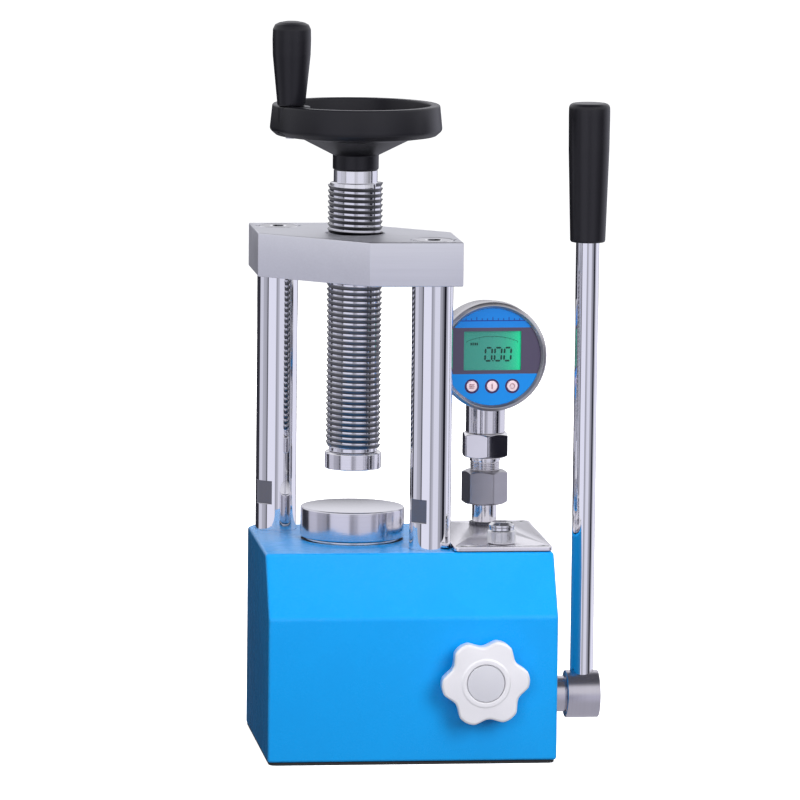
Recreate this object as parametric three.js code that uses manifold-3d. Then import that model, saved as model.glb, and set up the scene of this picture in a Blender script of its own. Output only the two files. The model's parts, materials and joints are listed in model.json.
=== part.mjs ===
// Manual hydraulic tablet press: a cast base with its hand pump and ram, two columns, a crosshead
// with a lead screw and handwheel, and a digital gauge on a riser.
// Millimetres, +Z up. The origin is on the ram and screw axis, at the surface that the press
// stands on. X runs to the right, Y to the back.

import * as THREE from 'three';
import { mergeVertices } from 'three/addons/utils/BufferGeometryUtils.js';
import Module from 'manifold-3d';

const wasm = await Module();
wasm.setup();

// ---------------------------------------------------------------- driving dimensions

const gap = 0.3; // left between two pieces that touch
const seatGap = 0.1; // left under a flat gasket and the plate on it
const fine = 10; // sides of a small round
const medium = 16; // sides of a middling round
const round = 24; // sides of a large round

// base casting
const bodyWidth = 210;
const bodyLeftOfAxis = 71;
const bodyFrontOfAxis = 103;
const bodyBackOfAxis = 73;
const bodyTop = 150;
const creaseHeight = 107; // where the front face starts to slope back
const slopeRun = 28.5;
const backLean = 2; // how far the back face leans in at the top
const bodyEdge = 1.5;
const cornerCutX = 6; // the broken vertical corner at the back left
const cornerCutY = 12;
const matThickness = 2;
const matInset = 1.2;

// columns and crosshead
const columnRadius = 15;
const columnOffsetX = 51.2;
const columnOffsetY = 51;
const columnSpan = 193; // from the top of the casting to the underside of the crosshead
const columnSeatDepth = 42; // how deep a column goes into the casting
const flatDepth = 1.8; // wrench flats
const flatStart = 19; // above the casting
const flatHeight = 17.5;
const columnRecessRadius = 5.5;
const columnRecessDepth = 5;
const crossheadWall = 4.8; // steel left outside each column
const crossheadCutX = 74.3; // the two cut corners
const crossheadCutY = 69;
const crossheadThickness = 32;
const crossheadEdge = 1.2;
const keyRadius = 2;
const keyDepth = 9;

// lead screw and its swivel foot
const screwRadius = 21;
const screwHang = 140.8; // from the underside of the crosshead to the bottom of the foot
const threadLength = 194;
const screwChamfer = 2.5;
const screwNeckRadius = 16;
const screwNeckLength = 9.6;
const lowerNeckRadius = 17.5;
const lowerNeckLength = 3;
const spigotRadius = 8;
const footRadius = 20.7;
const footHeight = 12.4;
const footEdge = 1.6;
const journalRadius = 8;
const journalLength = 8.5;
const journalGrooveDepth = 1.8;
const footScrewRadius = 2;

// handwheel and its revolving handle
const wheelRadius = 62.9; // at the bottom of the rim
const wheelTopRadius = 61;
const rimHeight = 22.5;
const rimUnderRise = 2.7; // how far the underside of the rim slopes up to its edge
const rimWall = 7;
const hubRadius = 16.8;
const hubHeight = 10.7; // plain part of the hub under the cone
const coneRise = 11.8;
const coneRadius = 40;
const bossRadius = 16.2; // hub boss inside the dish
const bossHeight = 8;
const wheelBoltRadius = 5;
const wheelBoltDepth = 24;
const wheelBoltHeadRadius = 8;
const wheelBoltHeadHeight = 9;
const wheelWasherRadius = 14;
const wheelWasherThickness = 2.5;
const handlePitchRadius = 52.5;
const handleAngle = THREE.MathUtils.degToRad(200);
const handleSeatRadius = 12.5;
const handleLength = 61.6;
const handleFootRadius = 10.2;
const handleWaistRadius = 11.8;
const handleBellyRadius = 14;
const handleDome = 3;
const handleCapRadius = 9;
const handleCapDepth = 4;
const spindleRadius = 4;
const spindleHeadRadius = 6.5;
const spindleHeadHeight = 4;
const spindleHeadDrop = 12; // from the top of the handle down to the top of the spindle head

// ram and platen
const ramRadius = 35;
const ramClearance = 0.4;
const ramFloor = 40; // floor of the cylinder
const ramRest = 6; // oil space under the ram at rest
const ramShow = 2; // ram seen above the casting
const sealGrooveDepth = 3.5;
const sealHeight = 6;
const sealRise = 8; // from the foot of the ram to the seal
const wiperWall = 2.5; // between the ram and the outside of the wiper
const wiperDepth = 6;
const platenRadius = 38;
const platenThickness = 22;
const platenEdge = 1.2;
const platenSpigotRadius = 10;
const platenSpigotLength = 8;

// oil reservoir, its cover plate and the filler plug
const coverColumnGap = 0.3; // between the cover plate and the right column
const coverFront = -73.8;
const coverBack = 58.5;
const coverThickness = 3;
const coverCorner = 4;
const coverSideInset = 0.8;
const gasketThickness = 0.6;
const gasketInset = 1.5;
const coverScrewInset = 6;
const coverScrewRadius = 2;
const coverScrewHeadRadius = 4;
const coverScrewLength = 10;
const pocketInset = 6.5; // from the left edge of the cover to the oil space
const pocketSideWall = 12; // casting left at the right of the oil space
const pocketFront = -64.5;
const pocketBack = 20;
const pocketFloor = 12;
const plugX = 103;
const plugY = -55.5;
const plugRadius = 10.6;
const plugHeadHeight = 10;
const plugThreadRadius = 6.5;
const plugThreadLength = 9;
const plugNeckRadius = 9;
const plugNeckHeight = 1.8;
const plugCapRadius = 9.4;
const plugCapHeight = 3.6;
const plugPinRadius = 3;
const ringInner = 7;
const ringOuter = 8.8;
const ringHeight = 1.5;

// gauge riser and fittings
const riserX = 103;
const riserY = 42;
const riserRadius = 9;
const riserThreadRadius = 6.5;
const riserThreadLength = 18;
const riserBore = 3;
const riserShow = 15.5; // tube seen between the cover plate and the lower nut
const riserOverlap = 12; // tube inside the lower nut
const collarWidth = 2;
const collarHeight = 1.8;
const lowerNutAcross = 30;
const lowerNutHeight = 24.5;
const lowerNutTurn = THREE.MathUtils.degToRad(-14.8);
const adapterWall = 1.3; // how far the adapter stands out from its thread
const adapterShow = 10.3; // adapter seen between the two nuts
const adapterInsert = 8; // adapter inside each nut
const fittingWall = 1; // how much larger the thread in each nut is than the tube
const upperNutAcross = 32;
const upperNutHeight = 18;
const upperNutTurn = THREE.MathUtils.degToRad(29.2);
const stemRadius = 14.5;
const stemNeckRadius = 6;
const stemNeckLength = 10; // neck inside the gauge case

// digital gauge, in a frame of its own on the stem axis
const gaugeTurn = THREE.MathUtils.degToRad(2.5);
const gaugeRise = 59.5; // from the top of the upper nut to the middle of the face
const gaugeFront = 30; // from the stem axis forward to the front of the bezel
const bezelRadius = 40.5;
const bezelWindow = 35.9;
const bezelLip = 3;
const bezelDepth = 14;
const caseRadius = 38;
const caseWall = 2.5;
const caseBack = 10; // from the stem axis back to the end of the case
const backCoverThickness = 3;
const dialThickness = 1.5;
const windowWidth = 42.7;
const windowHeight = 28.8;
const windowLeft = -21.3; // from the middle of the dial
const windowBottom = -10.1;
const displayBorder = 3;
const displayThickness = 3;
const buttonRadius = 4;
const buttonPitch = 15.1;
const buttonDrop = 21.9;
const buttonProud = 0.6;
const buttonLength = 5;
const boardRadius = 33;
const boardThickness = 1.6;
const boardBehindDial = 8;

// hand pump
const leverStandOff = 30; // from the side of the casting to the lever
const leverY = -15.4;
const leverZ = 35.5;
const socketRadius = 17.5;
const socketLength = 24.5;
const socketEdge = 1;
const socketNeckRadius = 13.2;
const socketSideGap = 1; // between the casting and the neck of the socket
const rodRadius = 8.5;
const rodSeat = 9; // from the shaft axis up to the end of the rod
const rodTop = 452; // end of the rod inside the grip
const gripBottom = 369.5;
const gripTop = 471.3;
const gripFootRadius = 12.7;
const gripHeadRadius = 15.1;
const gripEdge = 3;
const shaftRadius = 8;
const shaftInSocket = 17;
const shaftPinRadius = 2;
const bushRadius = 13;
const bushLength = 22;
const crankX = 109; // middle of the crank arm
const crankThickness = 9;
const crankRadius = 12; // from the shaft to the crank pin
const crankArmHalf = 10;
const crankPinRadius = 3;
const crankPinSlack = 1; // each side of the pin in the plunger's slot
const yokeX = 97;
const yokeThickness = 8;
const yokeHalfLength = 8;
const yokeHalfHeight = 9;
const plungerRadius = 6;
const plungerTip = -47.5; // front end of the plunger at rest
const plungerReach = 9.2; // how far it moves forward
const blockInset = 2.5; // from the left of the oil space to the pump block
const blockRight = 110;
const blockBack = -34;
const blockTop = 76;

// release valve
const valveX = 84;
const valveZ = 62.5;
const spindleShaft = 5;
const spindleTip = -57.5;
const ballRadius = 3;
const seatRadius = 2;
const valveSeat = -50.8;
const glandRadius = 12;
const glandBoreRadius = 8;
const glandProud = 6;
const glandDepth = 14;
const knobFront = -125;
const knobDepth = 13;
const knobRadius = 32;
const knobScallop = 4.9; // depth of the hollows between the lobes
const knobScallopHalf = THREE.MathUtils.degToRad(19.5); // half the angle of one hollow
const knobLobes = 6;
const knobTurn = THREE.MathUtils.degToRad(5);
const knobEdge = 2;
const knobHubRadius = 10;
const knobCapRadius = 13.5;
const knobCapDepth = 3;

// ---------------------------------------------------------------- places that follow from them

const bodyRight = bodyWidth - bodyLeftOfAxis;
const crossheadHalf = columnOffsetX + columnRadius + crossheadWall;
const wiperRadius = ramRadius + wiperWall;
const coverLeft = columnOffsetX + columnRadius + coverColumnGap;
const pocketLeft = coverLeft + pocketInset;
const pocketRight = bodyRight - pocketSideWall;
const blockLeft = pocketLeft + blockInset;
const leverX = bodyRight + leverStandOff;
const fittingRadius = riserRadius + fittingWall;
const adapterRadius = fittingRadius + adapterWall;
const collarRadius = riserRadius + collarWidth;
const castingBottom = matThickness + gap;
const crossheadBottom = bodyTop + columnSpan;
const crossheadTop = crossheadBottom + crossheadThickness;
const footBottom = crossheadBottom - screwHang;
const footTop = footBottom + footHeight;
const threadBottom = footTop + lowerNeckLength;
const threadTop = threadBottom + threadLength;
const hubBottom = threadTop + screwNeckLength;
const coneTop = hubBottom + hubHeight + coneRise;
const rimBottom = coneTop + rimUnderRise;
const wheelTop = rimBottom + rimHeight;
const handleSeat = wheelTop;
const handleX = handlePitchRadius * Math.cos(handleAngle);
const handleY = handlePitchRadius * Math.sin(handleAngle);
const ramBottom = ramFloor + ramRest;
const ramTop = bodyTop + ramShow - gap;
const bossTop = hubBottom + hubHeight + bossHeight;
const coverTop = bodyTop + gasketThickness + coverThickness + 2 * seatGap;
const coverRight = bodyRight - coverSideInset;
const lowerNutBottom = coverTop + riserShow;
const lowerNutTop = lowerNutBottom + lowerNutHeight;
const upperNutBottom = lowerNutTop + adapterShow;
const upperNutTop = upperNutBottom + upperNutHeight;
const gaugeZ = upperNutTop + gaugeRise;
const dialFront = -gaugeFront + bezelLip + gap;
const crankZ = leverZ + crankRadius;

const columnPlaces = [
  { name: 'left', x: -columnOffsetX, y: columnOffsetY },
  { name: 'right', x: columnOffsetX, y: -columnOffsetY },
];
const keySides = [-1, 1];
const coverScrewPlaces = [
  { name: 'front_left', x: coverLeft + coverScrewInset, y: coverFront + coverScrewInset },
  { name: 'front_right', x: coverRight - coverScrewInset, y: coverFront + coverScrewInset },
  { name: 'back_left', x: coverLeft + coverScrewInset, y: coverBack - coverScrewInset },
  { name: 'back_right', x: coverRight - coverScrewInset, y: coverBack - coverScrewInset },
];
const buttonPlaces = [
  { name: 'left', x: -buttonPitch },
  { name: 'middle', x: 0 },
  { name: 'right', x: buttonPitch },
];

// ---------------------------------------------------------------- finishes

const finishes = {
  bluePaint: { color: 0x1f9cea, roughness: 0.35, metalness: 0 },
  chrome: { color: 0xe6e6ea, roughness: 0.08, metalness: 1 },
  groundSteel: { color: 0xb9bac2, roughness: 0.3, metalness: 1 },
  brushedStainless: { color: 0xc8c6cc, roughness: 0.25, metalness: 1 },
  satinAluminium: { color: 0xd4d4da, roughness: 0.45, metalness: 1 },
  darkSteel: { color: 0x3a3a40, roughness: 0.5, metalness: 1 },
  brass: { color: 0xb5934a, roughness: 0.35, metalness: 1 },
  blackPlastic: { color: 0x2d2b34, roughness: 0.5, metalness: 0 },
  blackRubber: { color: 0x1c1c1e, roughness: 0.9, metalness: 0 },
  dialFilm: { color: 0x2a7fe0, roughness: 0.4, metalness: 0 },
  displayGreen: { color: 0x39c587, roughness: 0.3, metalness: 0 },
  clearWindow: { color: 0xd8f2e2, roughness: 0.05, metalness: 0 },
  buttonPink: { color: 0xf0d8dc, roughness: 0.5, metalness: 0 },
  boardGreen: { color: 0x1d6b3f, roughness: 0.6, metalness: 0 },
};

// ---------------------------------------------------------------- solids from three.js geometry

/** Signed volume of a triangle list, negative when its faces point inwards. */
function signedVolume(positions, triangles) {
  const [a, b, c] = [new THREE.Vector3(), new THREE.Vector3(), new THREE.Vector3()];
  let sum = 0;
  for (let i = 0; i < triangles.length; i += 3) {
    a.fromBufferAttribute(positions, triangles[i]);
    b.fromBufferAttribute(positions, triangles[i + 1]);
    c.fromBufferAttribute(positions, triangles[i + 2]);
    sum += a.dot(b.cross(c)) / 6;
  }
  return sum;
}

/** A closed solid, faces outwards, from a closed geometry. */
function solid(geometry) {
  const bare = geometry.clone();
  bare.deleteAttribute('normal');
  bare.deleteAttribute('uv');
  const merged = mergeVertices(bare);
  const index = merged.index.array;
  const triangles = [];
  for (let i = 0; i < index.length; i += 3) {
    const [a, b, c] = index.slice(i, i + 3);
    if (a !== b && b !== c && c !== a) triangles.push(a, b, c);
  }
  if (signedVolume(merged.attributes.position, triangles) < 0) triangles.reverse();
  return new wasm.Manifold(new wasm.Mesh({
    numProp: 3,
    vertProperties: new Float32Array(merged.attributes.position.array),
    triVerts: new Uint32Array(triangles),
  }));
}

/** A turned solid about Z from [radius, z] points that start and end on the axis or close up. */
function turned(points, sides = medium) {
  const profile = points.map(([radius, z]) => new THREE.Vector2(radius, z));
  if (points[0][0] > 0) profile.push(profile[0].clone());
  return solid(new THREE.LatheGeometry(profile, sides).rotateX(Math.PI / 2));
}

/** A ring about Z with a plain bore. */
function ring(inner, outer, bottom, top, sides = medium) {
  return turned([[inner, bottom], [outer, bottom], [outer, top], [inner, top]], sides);
}

/** A plain cylinder about Z. */
function drum(radius, bottom, top, sides = medium, x = 0, y = 0) {
  const geometry = new THREE.CylinderGeometry(radius, radius, top - bottom, sides);
  return solid(geometry.rotateX(Math.PI / 2).translate(x, y, (bottom + top) / 2));
}

/** A plain cylinder along Y. */
function drumAlongY(radius, front, back, x, z, sides = fine) {
  const geometry = new THREE.CylinderGeometry(radius, radius, back - front, sides);
  return solid(geometry.translate(x, (front + back) / 2, z));
}

/** A plain cylinder along X. */
function drumAlongX(radius, left, right, y, z, sides = fine) {
  const geometry = new THREE.CylinderGeometry(radius, radius, right - left, sides);
  return solid(geometry.rotateZ(Math.PI / 2).translate((left + right) / 2, y, z));
}

/** A plain block between two corners. */
function block([x0, y0, z0], [x1, y1, z1]) {
  const geometry = new THREE.BoxGeometry(x1 - x0, y1 - y0, z1 - z0);
  return solid(geometry.translate((x0 + x1) / 2, (y0 + y1) / 2, (z0 + z1) / 2));
}

/** An outline raised along Z, with an optional broken edge top and bottom. */
function raised(shape, bottom, top, edge = 0) {
  const geometry = new THREE.ExtrudeGeometry(shape, {
    depth: top - bottom - 2 * edge,
    bevelEnabled: edge > 0,
    bevelThickness: edge,
    bevelSize: edge,
    bevelOffset: -edge,
    bevelSegments: 1,
    curveSegments: 5,
  });
  return solid(geometry.translate(0, 0, bottom + edge));
}

/** A rectangle in X and Y with round corners. */
function roundedRectangle(left, front, right, back, corner) {
  const shape = new THREE.Shape();
  shape.moveTo(left + corner, front);
  shape.lineTo(right - corner, front);
  shape.absarc(right - corner, front + corner, corner, -Math.PI / 2, 0);
  shape.lineTo(right, back - corner);
  shape.absarc(right - corner, back - corner, corner, 0, Math.PI / 2);
  shape.lineTo(left + corner, back);
  shape.absarc(left + corner, back - corner, corner, Math.PI / 2, Math.PI);
  shape.lineTo(left, front + corner);
  shape.absarc(left + corner, front + corner, corner, Math.PI, 1.5 * Math.PI);
  return shape;
}

/** A hexagon nut about Z with its corners broken top and bottom. */
function hexNut(across, bottom, top, boreRadius, turn) {
  const corner = across / Math.sqrt(3);
  const height = top - bottom;
  const hexagon = new THREE.CylinderGeometry(corner, corner, height, 6);
  hexagon.rotateX(Math.PI / 2).rotateZ(turn).translate(0, 0, (bottom + top) / 2);
  const flat = across / 2;
  const drop = (corner - flat) * 0.6;
  const broken = turned([
    [0, bottom], [flat, bottom], [corner, bottom + drop],
    [corner, top - drop], [flat, top], [0, top],
  ]);
  return solid(hexagon).intersect(broken).subtract(drum(boreRadius, bottom - 1, top + 1, medium));
}

/** A named mesh of one solid in one finish. */
function piece(name, body, finish) {
  const { vertProperties, triVerts, numProp } = body.getMesh();
  const positions = [];
  for (let i = 0; i < vertProperties.length; i += numProp) {
    positions.push(vertProperties[i], vertProperties[i + 1], vertProperties[i + 2]);
  }
  const geometry = new THREE.BufferGeometry();
  geometry.setAttribute('position', new THREE.Float32BufferAttribute(positions, 3));
  geometry.setIndex(Array.from(triVerts));
  geometry.computeVertexNormals();
  const mesh = new THREE.Mesh(geometry, new THREE.MeshStandardMaterial(finish));
  mesh.name = name;
  return mesh;
}

/** A group of pieces at a place. */
function assembly(pieces, x = 0, y = 0, z = 0) {
  const group = new THREE.Group();
  group.add(...pieces);
  group.position.set(x, y, z);
  return group;
}

// ---------------------------------------------------------------- base

/** The casting's outer block: its side outline carried from left to right. */
function castingBlock() {
  const side = new THREE.Shape();
  side.moveTo(-bodyFrontOfAxis, castingBottom);
  side.lineTo(bodyBackOfAxis, castingBottom);
  side.lineTo(bodyBackOfAxis - backLean, bodyTop);
  side.lineTo(-bodyFrontOfAxis + slopeRun, bodyTop);
  side.lineTo(-bodyFrontOfAxis, creaseHeight);
  side.closePath();
  const geometry = new THREE.ExtrudeGeometry(side, {
    depth: bodyWidth - 2 * bodyEdge,
    bevelEnabled: true,
    bevelThickness: bodyEdge,
    bevelSize: bodyEdge,
    bevelOffset: -bodyEdge,
    bevelSegments: 1,
  });
  geometry.rotateX(Math.PI / 2).rotateZ(Math.PI / 2);
  return solid(geometry.translate(-bodyLeftOfAxis + bodyEdge, 0, 0));
}

/** The prism taken off the back left corner of the casting. */
function cornerCut() {
  const cut = new THREE.Shape();
  cut.moveTo(-bodyLeftOfAxis - 1, bodyBackOfAxis - cornerCutY);
  cut.lineTo(-bodyLeftOfAxis, bodyBackOfAxis - cornerCutY);
  cut.lineTo(-bodyLeftOfAxis + cornerCutX, bodyBackOfAxis);
  cut.lineTo(-bodyLeftOfAxis + cornerCutX, bodyBackOfAxis + 1);
  cut.lineTo(-bodyLeftOfAxis - 1, bodyBackOfAxis + 1);
  cut.closePath();
  return raised(cut, castingBottom - 1, bodyTop + 1);
}

/** The drilled way from the oil space under the ram to the gauge riser. */
function gaugePassage() {
  const level = ramFloor + ramRest / 2;
  const upright = drum(riserBore, level - riserBore, bodyTop, fine, riserX, riserY);
  const start = new THREE.Vector3(ramRadius / 2, 0, level);
  const end = new THREE.Vector3(riserX, riserY, level);
  const way = end.clone().sub(start);
  const cross = new THREE.CylinderGeometry(riserBore, riserBore, way.length(), fine);
  cross.rotateZ(-Math.PI / 2).rotateZ(Math.atan2(way.y, way.x));
  const middle = start.add(end).multiplyScalar(0.5);
  return upright.add(solid(cross.translate(middle.x, middle.y, middle.z)));
}

function baseCasting() {
  let body = castingBlock().subtract(cornerCut());
  body = body.subtract(drum(ramRadius + ramClearance, ramFloor, bodyTop + 1, round));
  body = body.subtract(drum(wiperRadius, bodyTop - wiperDepth, bodyTop + 1, round));
  for (const { x, y } of columnPlaces) {
    body = body.subtract(drum(columnRadius + gap, bodyTop - columnSeatDepth, bodyTop + 1, medium, x, y));
  }
  body = body.subtract(block([pocketLeft, pocketFront, pocketFloor], [pocketRight, pocketBack, bodyTop + 1]));
  for (const { x, y } of coverScrewPlaces) {
    const hole = drum(coverScrewRadius + gap, bodyTop - coverScrewLength, bodyTop + 1, fine, x, y);
    body = body.subtract(hole);
  }
  body = body.subtract(gaugePassage());
  body = body.subtract(drum(
    riserThreadRadius + gap, bodyTop - riserThreadLength - gap, bodyTop + 1, medium, riserX, riserY,
  ));
  body = body.subtract(drumAlongX(bushRadius + gap, pocketRight - 1, bodyRight + 1, leverY, leverZ, medium));
  body = body.subtract(drumAlongY(
    glandBoreRadius + gap, -bodyFrontOfAxis - 1, pocketFront + 1, valveX, valveZ, medium,
  ));
  return piece('base_casting', body, finishes.bluePaint);
}

function baseMat() {
  const outline = roundedRectangle(
    -bodyLeftOfAxis + matInset, -bodyFrontOfAxis + matInset,
    bodyRight - matInset, bodyBackOfAxis - matInset, cornerCutX,
  );
  return piece('base_mat', raised(outline, 0, matThickness), finishes.blackRubber);
}

// ---------------------------------------------------------------- columns and crosshead

function column({ name, x, y }) {
  const bottom = bodyTop - columnSeatDepth + gap;
  const top = crossheadTop - seatGap;
  let body = turned([
    [0, bottom], [columnRadius - 1, bottom], [columnRadius, bottom + 1],
    [columnRadius, top - 1], [columnRadius - 1, top], [0, top],
  ]);
  const reach = 2 * columnRadius;
  for (const side of keySides) {
    const flat = new THREE.BoxGeometry(reach, reach, flatHeight);
    flat.translate(side * (columnRadius - flatDepth + reach / 2), 0, bodyTop + flatStart + flatHeight / 2);
    body = body.subtract(solid(flat.rotateZ(Math.PI / 4)));
    const keyHole = drum(
      keyRadius + gap, top - keyDepth - gap, top + 1, fine, side * columnRadius, 0,
    );
    body = body.subtract(keyHole);
  }
  body = body.subtract(drum(columnRecessRadius, top - columnRecessDepth, top + 1, fine));
  const mesh = piece(`column_${name}`, body, finishes.chrome);
  mesh.position.set(x, y, 0);
  return mesh;
}

function columnKey({ name, x, y }, side) {
  const sideName = side < 0 ? 'a' : 'b';
  const top = crossheadTop - 1;
  const socket = drum(keyRadius / 2, top - keyRadius, top + 1, 6);
  const body = drum(keyRadius, top - keyDepth + 1, top, fine).subtract(socket);
  const mesh = piece(`column_key_${name}_${sideName}`, body, finishes.darkSteel);
  mesh.position.set(x + side * columnRadius, y, 0);
  return mesh;
}

function crosshead() {
  const outline = new THREE.Shape();
  outline.moveTo(-crossheadHalf + crossheadCutX, -crossheadHalf);
  outline.lineTo(crossheadHalf, -crossheadHalf);
  outline.lineTo(crossheadHalf, crossheadHalf - crossheadCutY);
  outline.lineTo(crossheadHalf - crossheadCutX, crossheadHalf);
  outline.lineTo(-crossheadHalf, crossheadHalf);
  outline.lineTo(-crossheadHalf, -crossheadHalf + crossheadCutY);
  outline.closePath();
  let body = raised(outline, crossheadBottom, crossheadTop, crossheadEdge);
  const bore = drum(screwRadius + gap + 0.2, crossheadBottom - 1, crossheadTop + 1, round);
  body = body.subtract(bore);
  for (const { x, y } of columnPlaces) {
    const seat = drum(columnRadius + gap, crossheadBottom - 1, crossheadTop + 1, medium, x, y);
    body = body.subtract(seat);
    for (const side of keySides) {
      const keyHole = drum(
        keyRadius + gap, crossheadTop - keyDepth - gap, crossheadTop + 1, fine,
        x + side * columnRadius, y,
      );
      body = body.subtract(keyHole);
    }
  }
  return piece('crosshead', body, finishes.groundSteel);
}

// ---------------------------------------------------------------- lead screw, foot, handwheel

function leadScrew() {
  const journalBottom = footTop - journalLength;
  const grooveMiddle = journalBottom + journalLength / 2;
  const spigotTop = bossTop - seatGap - gap;
  const body = turned([
    [0, journalBottom], [journalRadius, journalBottom],
    [journalRadius, grooveMiddle - footScrewRadius - gap],
    [journalRadius - journalGrooveDepth, grooveMiddle - footScrewRadius - gap],
    [journalRadius - journalGrooveDepth, grooveMiddle + footScrewRadius + gap],
    [journalRadius, grooveMiddle + footScrewRadius + gap],
    [journalRadius, footTop + gap], [lowerNeckRadius, footTop + gap],
    [lowerNeckRadius, threadBottom], [screwRadius, threadBottom + screwChamfer],
    [screwRadius, threadTop - screwChamfer], [screwNeckRadius, threadTop],
    [screwNeckRadius, hubBottom - gap], [spigotRadius, hubBottom - gap],
    [spigotRadius, spigotTop], [0, spigotTop],
  ], round);
  const tapped = drum(wheelBoltRadius + gap, spigotTop - wheelBoltDepth, spigotTop + 1, fine);
  return piece('lead_screw', body.subtract(tapped), finishes.brushedStainless);
}

function swivelFoot() {
  const floor = footTop - journalLength - gap;
  const bore = journalRadius + gap;
  const body = turned([
    [0, footBottom], [footRadius - footEdge, footBottom], [footRadius, footBottom + footEdge],
    [footRadius, footTop - footEdge], [footRadius - footEdge, footTop],
    [bore, footTop], [bore, floor], [0, floor],
  ], round);
  const middle = footTop - journalLength / 2;
  const hole = drumAlongY(footScrewRadius + gap, 0, footRadius + 1, 0, middle, fine);
  return piece('swivel_foot', body.subtract(hole), finishes.brushedStainless);
}

function footSetScrew() {
  const middle = footTop - journalLength / 2;
  const start = journalRadius - journalGrooveDepth + gap;
  const end = footRadius - 1;
  const socket = drumAlongY(footScrewRadius / 2, end - footScrewRadius, end + 1, 0, middle, 6);
  const body = drumAlongY(footScrewRadius, start, end, 0, middle, fine).subtract(socket);
  return piece('foot_set_screw', body, finishes.darkSteel);
}

function handwheel() {
  const bore = spigotRadius + gap;
  const innerRim = wheelTopRadius - rimWall;
  const dishFloor = rimBottom + 5;
  const body = turned([
    [bore, hubBottom], [hubRadius - 1.2, hubBottom], [hubRadius, hubBottom + 1.4],
    [hubRadius, hubBottom + hubHeight], [coneRadius, coneTop], [wheelRadius - 4, rimBottom],
    [wheelRadius - 1, rimBottom + 1.6], [wheelRadius, rimBottom + 4.5],
    [wheelTopRadius + 0.3, wheelTop - 2], [wheelTopRadius - 1.4, wheelTop],
    [innerRim + 1.4, wheelTop], [innerRim, wheelTop - 2],
    [innerRim - 2, dishFloor + 3], [innerRim - 6, dishFloor],
    [bossRadius + 3, bossTop - 4], [bossRadius, bossTop - 2], [bossRadius - 1, bossTop],
    [bore, bossTop],
  ], round);
  const seat = drum(handleSeatRadius, dishFloor - 1, handleSeat, fine, handleX, handleY);
  const outside = ring(wheelTopRadius - 1, wheelRadius + handleSeatRadius, dishFloor - 2, wheelTop + 1, round);
  const hole = drum(spindleRadius + gap, rimBottom - 2, wheelTop + 1, fine, handleX, handleY);
  return piece('handwheel', body.add(seat.subtract(outside)).subtract(hole), finishes.blackPlastic);
}

function wheelWasher() {
  const bottom = bossTop + gap;
  const body = ring(wheelBoltRadius + gap, wheelWasherRadius, bottom, bottom + wheelWasherThickness, medium);
  return piece('wheel_washer', body, finishes.chrome);
}

function wheelBolt() {
  const headBottom = bossTop + wheelWasherThickness + 2 * gap;
  const headTop = headBottom + wheelBoltHeadHeight;
  const tip = bossTop - wheelBoltDepth + 2;
  const body = turned([
    [0, tip], [wheelBoltRadius, tip], [wheelBoltRadius, headBottom],
    [wheelBoltHeadRadius, headBottom], [wheelBoltHeadRadius, headTop - 0.8],
    [wheelBoltHeadRadius - 0.8, headTop], [0, headTop],
  ], fine);
  const socket = drum(wheelBoltRadius * 0.9, headTop - wheelBoltHeadHeight / 2, headTop + 1, 6);
  return piece('wheel_bolt', body.subtract(socket), finishes.chrome);
}

function handleSpindle() {
  const bottom = rimBottom - 1;
  const headTop = handleLength + handleSeat - spindleHeadDrop;
  const body = turned([
    [0, bottom], [spindleRadius, bottom], [spindleRadius, headTop - spindleHeadHeight],
    [spindleHeadRadius, headTop - spindleHeadHeight], [spindleHeadRadius, headTop], [0, headTop],
  ], fine);
  return piece('handle_spindle', body, finishes.groundSteel);
}

function crankHandle() {
  const bottom = handleSeat + gap;
  const top = handleSeat + handleLength;
  const headSpace = top - spindleHeadDrop - spindleHeadHeight - gap;
  const capFloor = top - handleDome - handleCapDepth;
  const shoulder = top - handleDome;
  const bore = spindleRadius + gap;
  const body = turned([
    [bore, bottom], [handleFootRadius - 1, bottom], [handleFootRadius, bottom + 1.2],
    [handleWaistRadius, bottom + 0.28 * handleLength],
    [handleBellyRadius - 0.3, bottom + 0.6 * handleLength],
    [handleBellyRadius, bottom + 0.76 * handleLength],
    [handleBellyRadius - 0.3, shoulder - 4], [handleBellyRadius - 1.6, shoulder],
    [handleCapRadius + gap, shoulder + handleDome * 0.55],
    [handleCapRadius + gap, capFloor], [spindleHeadRadius + gap, capFloor],
    [spindleHeadRadius + gap, headSpace], [bore, headSpace],
  ], medium);
  return piece('crank_handle', body, finishes.blackPlastic);
}

function handleCap() {
  const top = handleSeat + handleLength;
  const bottom = top - handleDome - handleCapDepth + gap;
  const body = turned([
    [0, bottom], [handleCapRadius, bottom], [handleCapRadius, top - handleDome * 0.45],
    [handleCapRadius / 2, top - handleDome * 0.12], [0, top],
  ], medium);
  return piece('handle_cap', body, finishes.blackPlastic);
}

// ---------------------------------------------------------------- ram

function ram() {
  const groove = ramRadius - sealGrooveDepth;
  const grooveBottom = ramBottom + sealRise;
  const grooveTop = grooveBottom + sealHeight;
  const recess = platenSpigotRadius + gap;
  const recessFloor = ramTop - platenSpigotLength;
  const body = turned([
    [0, ramBottom], [ramRadius - 1.5, ramBottom], [ramRadius, ramBottom + 1.5],
    [ramRadius, grooveBottom], [groove, grooveBottom], [groove, grooveTop], [ramRadius, grooveTop],
    [ramRadius, ramTop - 1], [ramRadius - 1, ramTop], [recess, ramTop],
    [recess, recessFloor], [0, recessFloor],
  ], round);
  return piece('ram', body, finishes.chrome);
}

function ramSeal() {
  const bottom = ramBottom + sealRise + gap;
  const inner = ramRadius - sealGrooveDepth + gap;
  const body = ring(inner, ramRadius + ramClearance - gap, bottom, bottom + sealHeight - 2 * gap, round);
  return piece('ram_seal', body, finishes.blackRubber);
}

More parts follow.
